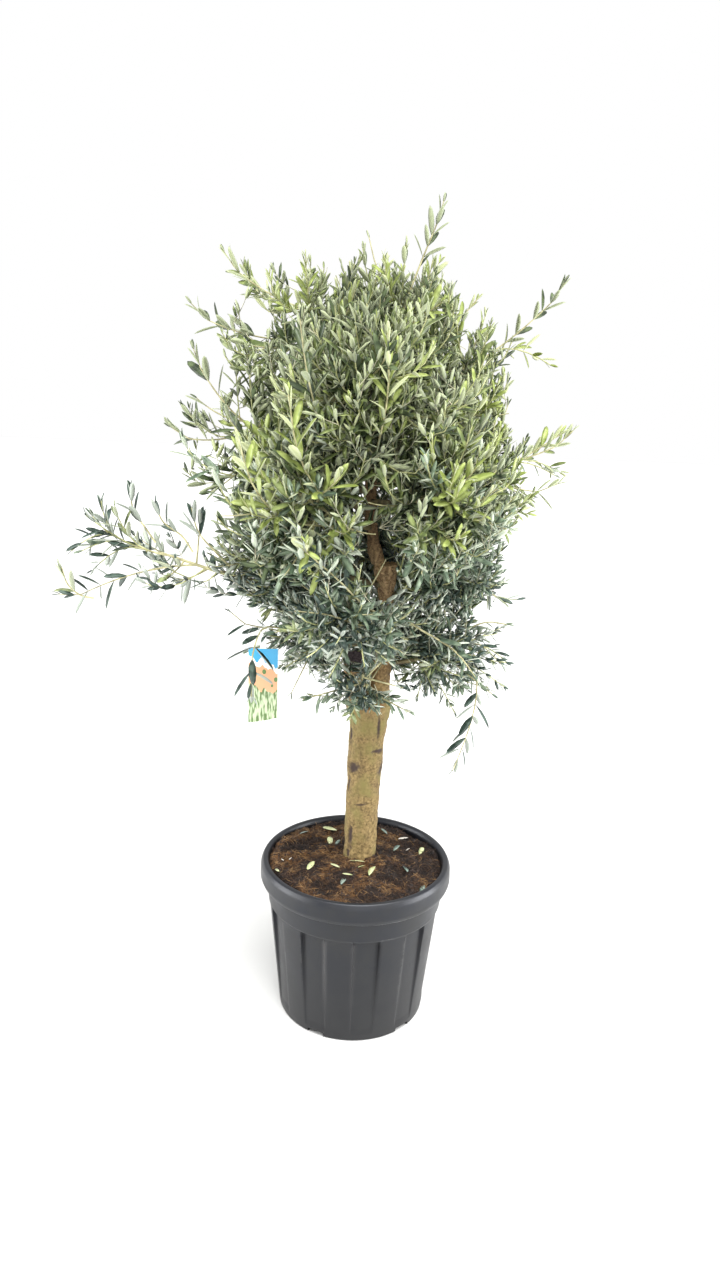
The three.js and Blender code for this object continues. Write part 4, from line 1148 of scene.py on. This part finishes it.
def build_pot(finish):
    """The pot: its profile, turned with the flutes sunk into its wall, then its notches and drain holes."""
    lip_foot = POT.height - LIP_HEIGHT
    stand = POT.foot_radius - 0.003 - STAND_WIDTH
    wall = [(wall_radius(z), z) for z in np.linspace(POT.flute_foot, POT.shoulder - 0.004, 16)]
    outside = [(0, 0), (BOSS_RADIUS, 0), (BOSS_RADIUS + 0.004, BASE_UNDERSIDE),
               (stand - 0.004, BASE_UNDERSIDE), (stand, 0), (POT.foot_radius - 0.003, 0),
               (POT.foot_radius, 0.003), *wall, (POT.shoulder_radius + 0.002, POT.shoulder),
               (POT.neck, lip_foot), (POT.rim - 0.004, lip_foot), (POT.rim, lip_foot + 0.010),
               (POT.rim - 0.001, POT.height - 0.010),
               (POT.rim - 0.006, POT.height), (COLLAR_RADIUS + 0.004, POT.height),
               (COLLAR_RADIUS, POT.height - 0.008)]
    inside = [(COLLAR_RADIUS, POT.shoulder + 0.004), (POT.shoulder_radius - WALL, POT.shoulder - 0.004),
              (wall_radius(BASE_TOP) - WALL, BASE_TOP), (0, BASE_TOP)]
    # angles lie closer together on the flutes' sides
    near, far = FLUTE_EDGE, 0.5 - FLUTE_EDGE
    shares = np.concatenate([np.linspace(0, near, 6), np.linspace(near, far, 9)[1:],
                             np.linspace(far, 0.5, 6)[1:], np.linspace(0.5, 1, 11)[1:-1]])
    angles = [(pair + shares) / POT.flutes * 2 * math.pi for pair in range(POT.flutes)]
    points, faces = turned(rounded(outside + inside, 0.003), np.concatenate(angles), flute_depth)
    made = new_object("pot", mesh_of("pot", points, faces))
    cutters = pot_cutters()
    for cutter in cutters:
        modify(made, "BOOLEAN", operation="DIFFERENCE", solver="EXACT", object=cutter)
    mesh = plain_mesh(made)
    for cutter in cutters:
        bpy.data.objects.remove(cutter)
    add_scuffs(mesh)
    smooth_by_angle(mesh, 34)
    new_piece("nursery_pot", mesh, ["pot"], [finish])


def pot_cutters():
    """The notches in the standing ring, and the drain holes, as one object each."""
    turns = [Matrix.Rotation(math.radians(45 + i * 360 / NOTCHES), 4, "Z") for i in range(NOTCHES)]
    notches, drains = bmesh.new(), bmesh.new()
    for turn in turns:
        place = turn @ Matrix.Translation((0, -POT.foot_radius, 0)) @ Matrix.Diagonal(NOTCH_SIZE)
        bmesh.ops.create_cube(notches, matrix=place)
        place = turn @ Matrix.Translation((0, -DRAIN_CIRCLE, 0))
        bmesh.ops.create_cone(drains, cap_ends=True, segments=20, radius1=DRAIN_RADIUS,
                              radius2=DRAIN_RADIUS, depth=0.040, matrix=place)
    return [new_object(*pair) for pair in (("notches", mesh_from(notches, "notches")),
                                           ("drains", mesh_from(drains, "drains")))]


def add_scuffs(mesh):
    """Pale wear where the pot is knocked, on the lip's lower edge, the ledge and the foot. The sides of the
    flutes that face out to the left and right get a painted highlight, and those that face the middle
    painted shade."""
    points = skin_of(mesh)[0]
    radius, z = np.hypot(points[:, 0], points[:, 1]), points[:, 2]
    turn = np.mod(np.arctan2(points[:, 0], -points[:, 1]) / (2 * math.pi) * POT.flutes, 1)
    patchy = 0.5 + 0.5 * ruffle(points * (1, 1, 0.3), 0.030, 12)
    lip = np.exp(-((z - (POT.height - LIP_HEIGHT + 0.001)) / 0.0016) ** 2) * (radius > POT.neck + 0.004)
    ledge = np.exp(-((z - POT.shoulder) / 0.0016) ** 2) * 0.62
    foot = np.exp(-((z - 0.002) / 0.004) ** 2) * (radius > POT.foot_radius - 0.012) * 0.7
    amount = np.clip((lip + ledge) * patchy * 1.15 + foot * patchy, 0, 1)
    on_wall = (z > POT.flute_foot + 0.01) & (z < POT.shoulder - 0.006) & (radius > wall_radius(z) - 0.010)
    # the flutes' sides: a painted highlight on those that face out to the left and right, and painted shade
    # on those that face the middle, both fading out towards the foot
    sides = (FLUTE_EDGE / 2, 0.5 - FLUTE_EDGE / 2)
    first, second = (np.exp(-((turn - side) / 0.034) ** 2) for side in sides)
    faint = np.where(on_wall, np.clip(1.5 * z / POT.shoulder - 0.38, 0, 1), 0)
    right = np.clip(0.5 + points[:, 0] / 0.10, 0, 1)
    polish = faint * (first * right + second * (1 - right)) * (0.5 + 0.5 * patchy)
    grime = faint * (first * (1 - right) + second * right)
    for name, values in (("scuff", amount), ("polish", polish), ("grime", grime)):
        store(mesh, name, values)


def smooth_by_angle(mesh, degrees):
    """Smooth shading, broken at edges that turn more than an angle."""
    mesh.polygons.foreach_set("use_smooth", [True] * len(mesh.polygons))
    mesh.set_sharp_from_angle(angle=math.radians(degrees))


# ---------------------------------------------------------------- potting mix


def soil_height(x, y):
    """The mounded surface: lumps of a few sizes on a cone that falls to the pot's wall."""
    radius = np.hypot(x, y)
    fall = np.clip((radius - SOIL_FLAT) / (COLLAR_RADIUS - SOIL_FLAT), 0, 1)
    base = SOIL_MOUND + (SOIL_EDGE - SOIL_MOUND) * fall
    flat = np.stack([x, y, np.zeros_like(x)], axis=-1)
    lumps = sum(rise * ruffle(flat, size, seed) for rise, size, seed in
                ((0.0060, 0.036, 1), (0.0038, 0.015, 2), (0.0020, 0.006, 3)))
    # banked up on the left, and against the trunk's right, and sunk by the wall on the right at the back
    bank = 0.004 * np.clip(-x / 0.15, 0, 1)
    bank = bank + 0.007 * np.exp(-np.hypot(x - 0.045, y + 0.010) ** 2 / 0.030**2)
    bank += 0.009 * np.exp(-np.hypot(x, y + 0.035) ** 2 / 0.060**2)
    hollow = 0.006 * np.exp(-np.hypot(x - 0.125, y - 0.085) ** 2 / 0.050**2)
    sink = np.exp(-((COLLAR_RADIUS - radius) / 0.005) ** 2) * 0.006
    return base + lumps + bank - hollow - sink + 0.005


def build_soil(finish):
    rings, spokes = 64, 180
    points = []
    for radius in np.linspace(0.004, COLLAR_RADIUS - 0.0006, rings):
        angle = np.arange(spokes) / spokes * 2 * math.pi
        x, y = radius * np.cos(angle), radius * np.sin(angle)
        points.append(np.stack([x, y, soil_height(x, y)], axis=-1))
    rim = points[-1].copy()
    rim[:, 2] = SOIL_EDGE - 0.040
    points = np.concatenate([*points, rim, [[0, 0, SOIL_MOUND], [0, 0, SOIL_EDGE - 0.040]]])
    faces = [(face[0], *face[:0:-1]) for face in ring_faces(rings, spokes)]  # turned over, as z falls
    mesh = mesh_of("potting_mix", points, faces)
    return new_piece("potting_mix", mesh, ["soil"], [finish])


def fibre_shape():
    """A short bent coir fibre, three-sided, one unit long and lying along X."""
    line = [(-0.5, 0, 0.0), (-0.2, 0.07, 0.05), (0.15, 0.02, 0.08), (0.5, -0.12, 0.02)]
    half = 0.02
    points = [np.array(p) + half * np.array([0, math.cos(a), math.sin(a)])
              for p in line for a in (0, 2.1, 4.2)]
    faces = [(3 * i + j, 3 * i + (j + 1) % 3, 3 * i + 3 + (j + 1) % 3, 3 * i + 3 + j)
             for i in range(3) for j in range(3)]
    faces += [(2, 1, 0), (9, 10, 11)]
    return mesh_of("coir_fibre", points, faces)


def crumb_shape():
    """A crumb of peat, one unit across."""
    shape = bmesh.new()
    bmesh.ops.create_icosphere(shape, subdivisions=1, radius=0.5)
    for vertex in shape.verts:
        vertex.co *= 1 + 0.35 * noise.noise(vertex.co * 3.1)
    return mesh_from(shape, "crumb")


def top_of(soil, name):
    """The open surface of the potting mix, which litter lies on."""
    shape = bmesh.new()
    shape.from_mesh(soil.data)
    middles = [(face, face.calc_center_median()) for face in shape.faces]
    low = [face for face, middle in middles
           if middle.z < SOIL_EDGE - 0.010 or math.hypot(*middle.xy) > COLLAR_RADIUS - 0.005]
    bmesh.ops.delete(shape, geom=low, context="FACES")
    mesh = mesh_from(shape, name)
    mesh.materials.clear()
    return mesh


LITTER_KEYS = ("Density", "Dryness", "Least", "Greatest", "Flatness", "Seed")


def build_litter(soil, finishes):
    """Fibres and crumbs strewn over the potting mix."""
    tree = litter_growth()
    litter = [
        ("coir_fibres_tan", fibre_shape, "coir_tan", 30000.0, 0.8, 0.008, 0.024, 0.55, 11),
        ("coir_fibres_brown", fibre_shape, "coir_brown", 34000.0, 0.1, 0.008, 0.024, 0.6, 14),
        ("coir_fibres_dark", fibre_shape, "coir_dark", 40000.0, -0.6, 0.008, 0.022, 0.65, 12),
        ("peat_crumbs", crumb_shape, "peat", 15000.0, -0.3, 0.0018, 0.006, 3.1, 13),
    ]
    for name, shape_of, finish, *values in litter:
        shape = new_object(f"shape_{name}", shape_of())
        given = {"Shape": shape, "Finish": finishes[finish], **dict(zip(LITTER_KEYS, values))}
        new_piece(name, grown(top_of(soil, name), tree, given))
        bpy.data.objects.remove(shape)


# Leaves and scraps fallen on the mix: place, turn in degrees, length, and the finish of each.
FALLEN = [
    (-0.092, -0.051, 160, 0.036, "pale"), (-0.042, -0.059, 60, 0.024, "pale"),
    (0.003, -0.044, 70, 0.034, "pale"), (0.032, -0.074, -12, 0.040, "pale"),
    (-0.057, 0.065, 5, 0.042, "pale"), (-0.040, 0.048, -12, 0.030, "grey"),
    (0.112, 0.051, -35, 0.016, "white"), (0.104, 0.106, 118, 0.026, "white"),
    (0.140, 0.045, -14, 0.034, "pale"), (0.086, 0.040, -25, 0.030, "grey"),
    (0.105, -0.044, 8, 0.032, "grey"), (0.135, -0.109, -4, 0.036, "grey"),
    (-0.024, -0.110, -15, 0.030, "grey"), (-0.160, -0.069, 35, 0.018, "pale"),
    (-0.152, -0.031, 20, 0.012, "white"), (-0.016, -0.093, 80, 0.022, "pale"),
    (0.012, -0.060, 120, 0.018, "pale"), (-0.137, -0.020, -20, 0.012, "white"),
    (0.061, 0.118, 30, 0.030, "grey"), (-0.060, 0.120, 75, 0.034, "pale"),
    (-0.115, 0.090, -40, 0.028, "grey"), (0.010, 0.140, 10, 0.036, "pale"),
]


def build_fallen(finishes):
    """The fallen leaves, each kind joined. A leaf lies on the highest lump under it."""
    for kind in ("pale", "grey", "white"):
        leaves = [leaf for leaf in FALLEN if leaf[4] == kind]
        points, faces = [], []
        for i, (x, y, turn, length, _) in enumerate(leaves):
            blade = broad_blade(i % LEAF_SHAPES)
            ground = soil_height(x + np.array([-0.006, 0, 0.006]), np.full(3, y)).max()
            lean = 0.25 * (i % 3 - 1)
            place = (Matrix.Translation((x, y, ground + 0.003))
                     @ Matrix.Rotation(math.radians(turn), 4, "Z") @ Matrix.Rotation(lean, 4, "Y")
                     @ Matrix.Diagonal((length * 1.25, length, length, 1))
                     @ Matrix.Translation((0, -0.5, 0)))
            faces += [tuple(len(points) + v for v in polygon.vertices) for polygon in blade.polygons]
            points += [place @ v.co for v in blade.vertices]
            bpy.data.meshes.remove(blade)
        mesh = mesh_of(f"fallen_{kind}", points, faces)
        new_piece(f"fallen_leaves_{kind}", mesh, (), [finishes[kind]])


# ---------------------------------------------------------------- trunk, leader, stub and boughs


def limb(path, radius_at, sides, steps, squares=None):
    """Points and faces of a closed limb. radius_at(share, turn) takes arrays; turn 0 faces the front."""
    shares = np.linspace(0, 1, steps + 1)
    turns = np.arange(sides) / sides * 2 * math.pi
    centres = path.at(shares)
    axes = path.heading(shares) if squares is None else np.broadcast_to(squares, centres.shape)
    front = np.array([0, -1.0, 0]) if abs(axes[0][2]) > 0.5 else UP
    front = unit(front - np.einsum("j,ij->i", front, axes)[:, None] * axes)
    right = np.cross(axes, front)
    reach = np.broadcast_to(radius_at(shares[:, None], turns[None, :]), (steps + 1, sides))
    ring = front[:, None] * np.cos(turns)[None, :, None] + right[:, None] * np.sin(turns)[None, :, None]
    points = (centres[:, None] + ring * reach[:, :, None]).reshape(-1, 3)
    points = np.concatenate([points, centres[:1], centres[-1:]])
    return points, ring_faces(steps, sides)


def trunk_radius(share, turn):
    """The trunk's true outline: taper, root flare, the swelling under the leader, and its knots."""
    z = TRUNK_FOOT[2] + share * (TRUNK_HEAD[2] - TRUNK_FOOT[2])
    flare = 0.006 * np.exp(-3 * (z - TRUNK_FOOT[2]) / 0.040)
    to_leader = np.maximum(np.cos(turn - math.pi / 2), 0)
    head = 0.006 * np.exp(-2 * (TRUNK_HEAD[2] - z) / 0.060) * to_leader
    reach = TRUNK_RADII[0] + (TRUNK_RADII[1] - TRUNK_RADII[0]) * share
    reach = reach + flare * (0.7 + 0.3 * np.cos(3 * turn)) + head
    for knot in KNOTS:
        away = np.abs(np.mod(np.degrees(turn) - knot.turn + 180, 360) - 180)
        across = np.radians(away) * TRUNK_RADII[1] / knot.width
        along = (z - knot.height) / knot.width
        reach = reach + knot.swell * np.exp(-3 * (across**2 + along**2))
    return reach


def scar_at(points):
    """How scarred the trunk's bark is at each point, from 0 to 1, and how deep the scar goes."""
    centre = TRUNK_FOOT[0] + (TRUNK_HEAD[0] - TRUNK_FOOT[0]) * (points[:, 2] - TRUNK_FOOT[2]) / 0.351
    turn = np.degrees(np.arctan2(points[:, 0] - centre, -points[:, 1]))
    ragged = ruffle(points, 0.006, 9) * 0.35
    amount, depth = np.zeros(len(points)), np.zeros(len(points))
    for scar in SCARS:
        away = np.mod(turn - scar.turn + 180, 360) - 180
        across = np.radians(away) * 0.036
        along = points[:, 2] - scar.height - scar.lean * across
        near = np.clip(1.5 - np.hypot(across / scar.across, along / scar.along) + ragged, 0, 1)
        near = near * near * (3 - 2 * near)
        amount = np.maximum(amount, near)
        depth = np.maximum(depth, near * scar.depth)
    return amount, depth


def joined(parts):
    """Several lists of points and faces as one."""
    points, faces, start = [], [], 0
    for more, polygons in parts:
        points.append(more)
        faces += [tuple(start + v for v in polygon) for polygon in polygons]
        start += len(more)
    return np.concatenate(points), faces


def build_trunk(finish):
    """The trunk and both lengths of the leader as one grown skin, with the bark's relief."""
    line = Path(np.array([TRUNK_FOOT - (0, 0, 0.012), TRUNK_HEAD]))
    sunk = Path(np.array([LOWER.at(0) - (0, 0, 0.03), LOWER.at(0)]))
    parts = [limb(line, trunk_radius, 72, 80, UP), limb(sunk, lambda s, t: 0.022 + 0 * s + 0 * t, 48, 4),
             limb(LOWER, lambda s, t: lower_radius(s) + 0.0015 * np.sin(3 * t + 9 * s), 48, 80),
             limb(UPPER, lambda s, t: upper_radius(s) + 0.0008 * np.sin(2 * t + 7 * s), 40, 70)]
    points, faces = joined(parts)
    mesh = reskinned(new_object("trunk", mesh_of("trunk", points, faces)), 0.0020, 6)
    add_bark_relief(mesh)
    new_piece("trunk_and_leader", mesh, ["trunk", "leader_lower", "leader_upper"], [finish])


def reskinned(made, cell, easing):
    """The mesh of an object with one skin round its limbs, of small cells that are eased."""
    modify(made, "REMESH", mode="VOXEL", voxel_size=cell)
    modify(made, "SMOOTH", factor=0.5, iterations=easing)
    return plain_mesh(made)


def add_bark_relief(mesh):
    """Moves each point along its normal by grain, ridges and cracks, and marks the scars."""
    points, normals = skin_of(mesh)
    amount, depth = scar_at(points)
    # the leader's bark is the rougher, and cracked across
    rough = np.clip((points[:, 2] - 0.66) / 0.08, 0, 1)
    stretched = points * (1, 1, 0.25)
    across = points * (0.4, 0.4, 1)
    relief = 0.0006 * ruffle(points, 0.0055, 1) + 0.0009 * ruffle(stretched, 0.010, 2)
    relief += 0.0012 * ruffle(points, 0.022, 3)
    cracks = np.clip(0.22 - np.abs(ruffle(across, 0.007, 4)), 0, 0.22) / 0.22
    plates = ruffle(stretched, 0.008, 5)
    relief += rough * (0.0016 * plates - 0.0016 * cracks * (plates > -0.2))
    displace(mesh, points + normals * (relief - depth)[:, None])
    store(mesh, "scar", np.maximum(amount, rough * np.clip(cracks - 0.35, 0, 1) * 0.8))


def stub_radius(share, turn):
    reach = STUB_RADII[0] + (STUB_RADII[1] - STUB_RADII[0]) * share
    return reach + 0.0016 * np.sin(3 * turn + 1) + 0.0006 * np.sin(9 * turn)


def build_stub(bark, end_grain):
    """The sawn stub beside the leader: bark below, and the tilted, checked cut face."""
    line = Path([np.array(STUB_FOOT) - (0, 0, 0.02), np.array(STUB_TOP)])
    tilt = math.radians(STUB_CUT_TILT)
    normal = np.array([0, -math.sin(tilt), math.cos(tilt)])
    middle = np.array(STUB_TOP) - (0, 0, 0.018)  # of the cut face
    shape = bmesh.new()
    shape.from_mesh(mesh_of("stub_limb", *limb(line, stub_radius, 64, 48)))
    cut = bmesh.ops.bisect_plane(shape, geom=[*shape.verts, *shape.edges, *shape.faces], plane_co=middle,
                                 plane_no=normal, clear_outer=True)
    rim = [e for e in cut["geom_cut"] if isinstance(e, bmesh.types.BMEdge)]
    bmesh.ops.holes_fill(shape, edges=rim, sides=0)
    mesh = reskinned(new_object("stub", mesh_from(shape, "stub")), 0.0016, 2)
    points, normals = skin_of(mesh)
    on_face = (np.abs((points - middle) @ normal) < 0.003) & (normals @ normal > 0.7)
    turn = np.arctan2(points[:, 0] - middle[0], points[:, 1] - middle[1])
    checks = np.clip(np.sin(7 * turn + 3 * ruffle(points, 0.02, 5)) - 0.82, 0, 1) * 0.012
    barked = 0.0011 * ruffle(points * (1, 1, 0.3), 0.008, 7)
    relief = np.where(on_face, 0.0008 * ruffle(points, 0.006, 6) - checks, barked)
    displace(mesh, points + normals * relief[:, None])
    piece = new_piece("pruned_stub_wood", mesh, ["pruned_stub"], [bark, end_grain])
    piece.data.polygons.foreach_set("material_index", [int(np.mean(on_face[list(p.vertices)]) > 0.5)
                                                       for p in piece.data.polygons])
    store(mesh, "scar", np.full(len(points), 0.25))


def build_boughs(finish):
    """Every bough, tapering into its mass, with a low relief on its bark."""
    parts = []
    for name in MASSES:
        path = ROUTES[name][0]
        foot = min(max(0.0034 + path.length / 40, 0.0046), 0.0080)  # the longer, the thicker

        def reach(share, turn):
            return foot + (BOUGH_TIP - foot) * share + 0.0006 * np.sin(3 * turn + 30 * share)

        parts.append(limb(path, reach, 10, 26))
    mesh = mesh_of("boughs", *joined(parts))
    points, normals = skin_of(mesh)
    displace(mesh, points + normals * (0.0006 * ruffle(points, 0.009, 8))[:, None])
    new_piece("bough_limbs", mesh, [f"bough_{name}" for name in MASSES], [finish])


# ---------------------------------------------------------------- twigs and leaves


def twig_lines(name, shoots, steps):
    """The lines of twigs as a mesh of edges, with the thickness at each point."""
    points, edges, thickness = [], [], []
    for path, radii in shoots:
        shares = np.linspace(0, 1, steps + 1)
        start = len(points)
        points += [tuple(p) for p in path.at(shares)]
        thickness += list(radii[0] + (radii[1] - radii[0]) * shares)
        edges += [(start + i, start + i + 1) for i in range(steps)]
    mesh = bpy.data.meshes.new(name)
    mesh.from_pydata(points, edges, [])
    store(mesh, "thickness", thickness)
    return mesh


def build_twigs(tree, finishes):
    """Stems with their shoots, then the two orders of side twigs, each kind joined."""
    stems = [(ROUTES[name][1], STEM_RADII) for name in MASSES]
    kinds = (("stems_and_shoots", SHOOTS, 12, 6), ("side_twigs", SIDE_TWIGS, 5, 5),
             ("fine_twigs", FINE_TWIGS, 3, 3))
    for name, twigs_of, steps, sides in kinds:
        twigs = [(twig.path, twig.radii) for mass in MASSES for twig in twigs_of[mass]]
        lines = twig_lines(name, stems + twigs if twigs_of is SHOOTS else twigs, steps)
        mesh = grown(lines, tree, {"Sides": sides, "Bark": finishes[name]})
        new_piece(name, mesh, [f"foliage_{mass}" for mass in MASSES])


def build_leaves(tree, finishes):
    """The leaves, joined by tier, kind and tint, each stood on its twig by its heading and facing."""
    blades = {}
    for kind, shape_of in (("broad", broad_blade), ("fine", fine_blade)):
        blades[kind] = bpy.data.collections.new(f"{kind}_blades")
        for shape in range(LEAF_SHAPES):
            blades[kind].objects.link(bpy.data.objects.new(f"{kind}_{shape}", shape_of(shape)))
    for tier, slot, seed in (("high", "foliage_high", 5), ("low", "foliage_low", 6)):
        names = [n for n, mass in MASSES.items() if (mass.middle[2] > HIGH_LIMIT) == (tier == "high")]
        leaves = all_leaves(names, seed)
        for kind in ("broad", "fine"):
            for number, tint in enumerate(TINTS):
                chosen = (leaves.tint == number) & (leaves.fine == (kind == "fine"))
                name = f"{kind}_leaves_{tier}_{tint}"
                mesh = mesh_of(name, leaves.base[chosen], [])
                for key, values in (("heading", leaves.heading), ("facing", leaves.facing),
                                    ("blade_size", leaves.size[:, None] * np.ones(3))):
                    store(mesh, key, values[chosen], "FLOAT_VECTOR")
                store(mesh, "shape", leaves.shape[chosen], "INT")
                upper, under = finishes[tier, tint]
                made = grown(mesh, tree, {"Blades": blades[kind], "Upper": upper, "Underside": under})
                new_piece(name, made, [f"foliage_{name}" for name in names])
    for group in blades.values():
        for blade in list(group.objects):
            bpy.data.objects.remove(blade)
        bpy.data.collections.remove(group)


def leaf_finishes():
    """Upper and underside finishes for each tier and tint. The high tier's copies are painted warmer, as
    sunlit, and the low tier's cooler and darker, as shaded.
    """
    colours = {
        ("high", "young"): ("#76833F", "#9CA961", "#AAB185"),
        ("high", "olive"): ("#505D34", "#7E8A53", "#A0A883"),
        ("high", "cool"): ("#50624D", "#7E8F75", "#ACB5A1"),
        ("high", "deep"): ("#2A3620", "#52603E", "#8E9676"),
        ("low", "young"): ("#67744A", "#8D976A", "#ABB297"),
        ("low", "olive"): ("#4E5B39", "#788357", "#A7AE93"),
        ("low", "cool"): ("#485A48", "#73816B", "#A8B0A0"),
        ("low", "deep"): ("#26352E", "#4A5B51", "#9BA398"),
    }
    made = {}
    for (tier, tint), (base, shift, silver) in colours.items():
        upper = leaf_finish(f"olive_leaf_{tier}_{tint}", base, shift, 0.42)
        under = leaf_finish(f"olive_leaf_underside_{tier}_{tint}", silver, silver, 0.8, 0.2)
        made[tier, tint] = (upper, under)
    return made


# ---------------------------------------------------------------- label


def build_label(finish):
    """The hang label: a thin bowed film with a neck and a punched ring, its face to the front."""
    low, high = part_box("plant_label")
    width, height, ring = 0.056, 0.146, 0.011
    centre = (low.x + high.x) / 2
    y = (low.y + high.y) / 2
    ring_z = high.z - ring
    top = ring_z - ring - 0.024
    foot = top - height
    shape = bmesh.new()
    layer = shape.loops.layers.uv.new("print")
    columns, rows = 10, 24

    def bow(x, z):
        share = (x - centre) / (width / 2)
        curl = 0.004 * (1 - share * share) + 0.003 * math.sin((z - foot) / height * 2.6)
        return (x, y - curl, z)

    grid = [[shape.verts.new(bow(centre - width / 2 + width * i / columns,
                                 foot + height * j / rows + 0.012 * (i / columns - 0.5) * (j == 0)))
             for i in range(columns + 1)] for j in range(rows + 1)]
    for j in range(rows):
        for i in range(columns):
            shape.faces.new((grid[j][i], grid[j][i + 1], grid[j + 1][i + 1], grid[j + 1][i]))
    neck = [shape.verts.new(bow(centre + x, top + z)) for z in (0.012, 0.022) for x in (-0.006, 0.006)]
    mid = columns // 2
    shape.faces.new((grid[rows][mid - 1], grid[rows][mid], neck[1], neck[0]))
    shape.faces.new((grid[rows][mid], grid[rows][mid + 1], neck[1]))
    shape.faces.new((neck[0], neck[1], neck[3], neck[2]))
    angles = [(k + 0.5) / 24 * 2 * math.pi - math.pi / 2 for k in range(24)]
    inner, outer = ([shape.verts.new(bow(centre + reach * math.cos(a), ring_z + reach * math.sin(a)))
                     for a in angles] for reach in (0.007, ring))
    for k in range(24):
        n = (k + 1) % 24
        shape.faces.new((inner[k], outer[k], outer[n], inner[n]))
    shape.faces.new((neck[2], neck[3], outer[0], outer[23]))
    for face in shape.faces:
        for loop in face.loops:
            co = loop.vert.co
            loop[layer].uv = ((co.x - centre) / width + 0.5, (co.z - foot) / (high.z - foot))
    bmesh.ops.recalc_face_normals(shape, faces=shape.faces)
    made = new_object("label", mesh_from(shape, "label"))
    modify(made, "SOLIDIFY", thickness=0.0007, offset=0)
    mesh = plain_mesh(made)
    smooth_by_angle(mesh, 40)
    new_piece("hang_label", mesh, ["plant_label"], [finish])


# ---------------------------------------------------------------- studio


CAMERA_PITCH, CAMERA_ROLL = 15.86, 2.24  # degrees
CAMERA_LENS = 27.03


# name, place, target, size and power
SOFTBOXES = [
    ("left", (-2.5, -0.5, 0.6), (0, 0, 0.3), 1.6, 84),
    ("front", (0.3, -3.2, 0.9), (0, 0, 0.95), 2.0, 24),
    ("right", (2.5, -0.4, 0.6), (0, 0, 0.3), 1.6, 100),
]
CANOPY_POWER, CANOPY_SPREAD = 6.2, 45  # a wide soft light from overhead, its spread in degrees


def aimed(made, place, way, roll=0.0):
    """Sets a camera or a light at a place, looking along a way, and rolled by an angle in degrees."""
    made.location = place
    made.rotation_mode = "QUATERNION"
    made.rotation_quaternion = way.to_track_quat("-Z", "Y") @ Quaternion((0, 0, 1), math.radians(roll))


def build_camera():
    data = bpy.data.cameras.new("camera")
    data.lens, data.sensor_width = CAMERA_LENS, 36
    camera = new_object("camera", data)
    pitch = math.radians(CAMERA_PITCH)
    aimed(camera, FRONT_EYE, Vector((0, math.cos(pitch), -math.sin(pitch))), CAMERA_ROLL)
    bpy.context.scene.camera = camera


def build_studio():
    corners = [(-14, -14, 0), (14, -14, 0), (14, 14, 0), (-14, 14, 0)]
    floor = new_object("floor", mesh_of("floor", corners, [(0, 1, 2, 3)], False))
    floor.data.materials.append(floor_finish())
    canopy = bpy.data.lights.new("overhead_canopy", "SUN")
    canopy.energy, canopy.angle = CANOPY_POWER, math.radians(CANOPY_SPREAD)
    new_object("overhead_canopy", canopy).rotation_euler = (math.radians(22), math.radians(8), 0)
    for name, place, target, size, power in SOFTBOXES:
        softbox = bpy.data.lights.new(name, "AREA")
        softbox.shape, softbox.size, softbox.energy = "SQUARE", size, power
        aimed(new_object(name, softbox), place, Vector(target) - Vector(place))
    world = bpy.data.worlds.new("studio")
    world.use_nodes = True
    backdrop = world.node_tree.nodes["Background"]
    backdrop.inputs["Color"].default_value = linear("#FFFFFF")
    backdrop.inputs["Strength"].default_value = 1.0
    bpy.context.scene.world = world
    bpy.context.scene.view_settings.view_transform = "Standard"


# ---------------------------------------------------------------- assembly


def build_tree():
    bark = bark_finish()
    build_pot(pot_finish())
    soil = build_soil(soil_finish())
    # coir is fibre beaten out of coconut husks, and peat is decayed moss: both dull, mottled tan to brown
    build_litter(soil, {
        "coir_tan": twig_finish("coir_tan", "#4B3420", "#9A784D"),
        "coir_brown": twig_finish("coir_brown", "#2A1B12", "#533A25"),
        "coir_dark": twig_finish("coir_dark", "#170E0A", "#32231A"),
        "peat": twig_finish("peat_crumb", "#170E0A", "#35241A"),
    })
    # leaves on the ground dry to a pale yellow green or a grey, and scraps of their skins to white
    build_fallen({
        "pale": leaf_finish("fallen_leaf_pale", "#B7C08A", "#CBD0A4", 0.6),
        "grey": leaf_finish("fallen_leaf_grey", "#5F7068", "#7C8B80", 0.6),
        "white": leaf_finish("fallen_scrap_white", "#D8D2C4", "#E6E0D4", 0.7),
    })
    build_trunk(bark)
    build_stub(bark, cut_wood_finish())
    build_boughs(twig_finish("olive_bough_bark", "#4F4632", "#857A55"))
    build_twigs(twig_growth(), {
        "stems_and_shoots": twig_finish("young_olive_bark", "#8A8560", "#B8B38A"),
        "side_twigs": twig_finish("green_olive_twig", "#8E915E", "#BDBD8C"),
        "fine_twigs": twig_finish("fine_olive_twig", "#98957A", "#C2BFA4"),
    })
    build_leaves(foliage_growth(), leaf_finishes())
    build_label(label_finish())


build_tree()
build_camera()
build_studio()
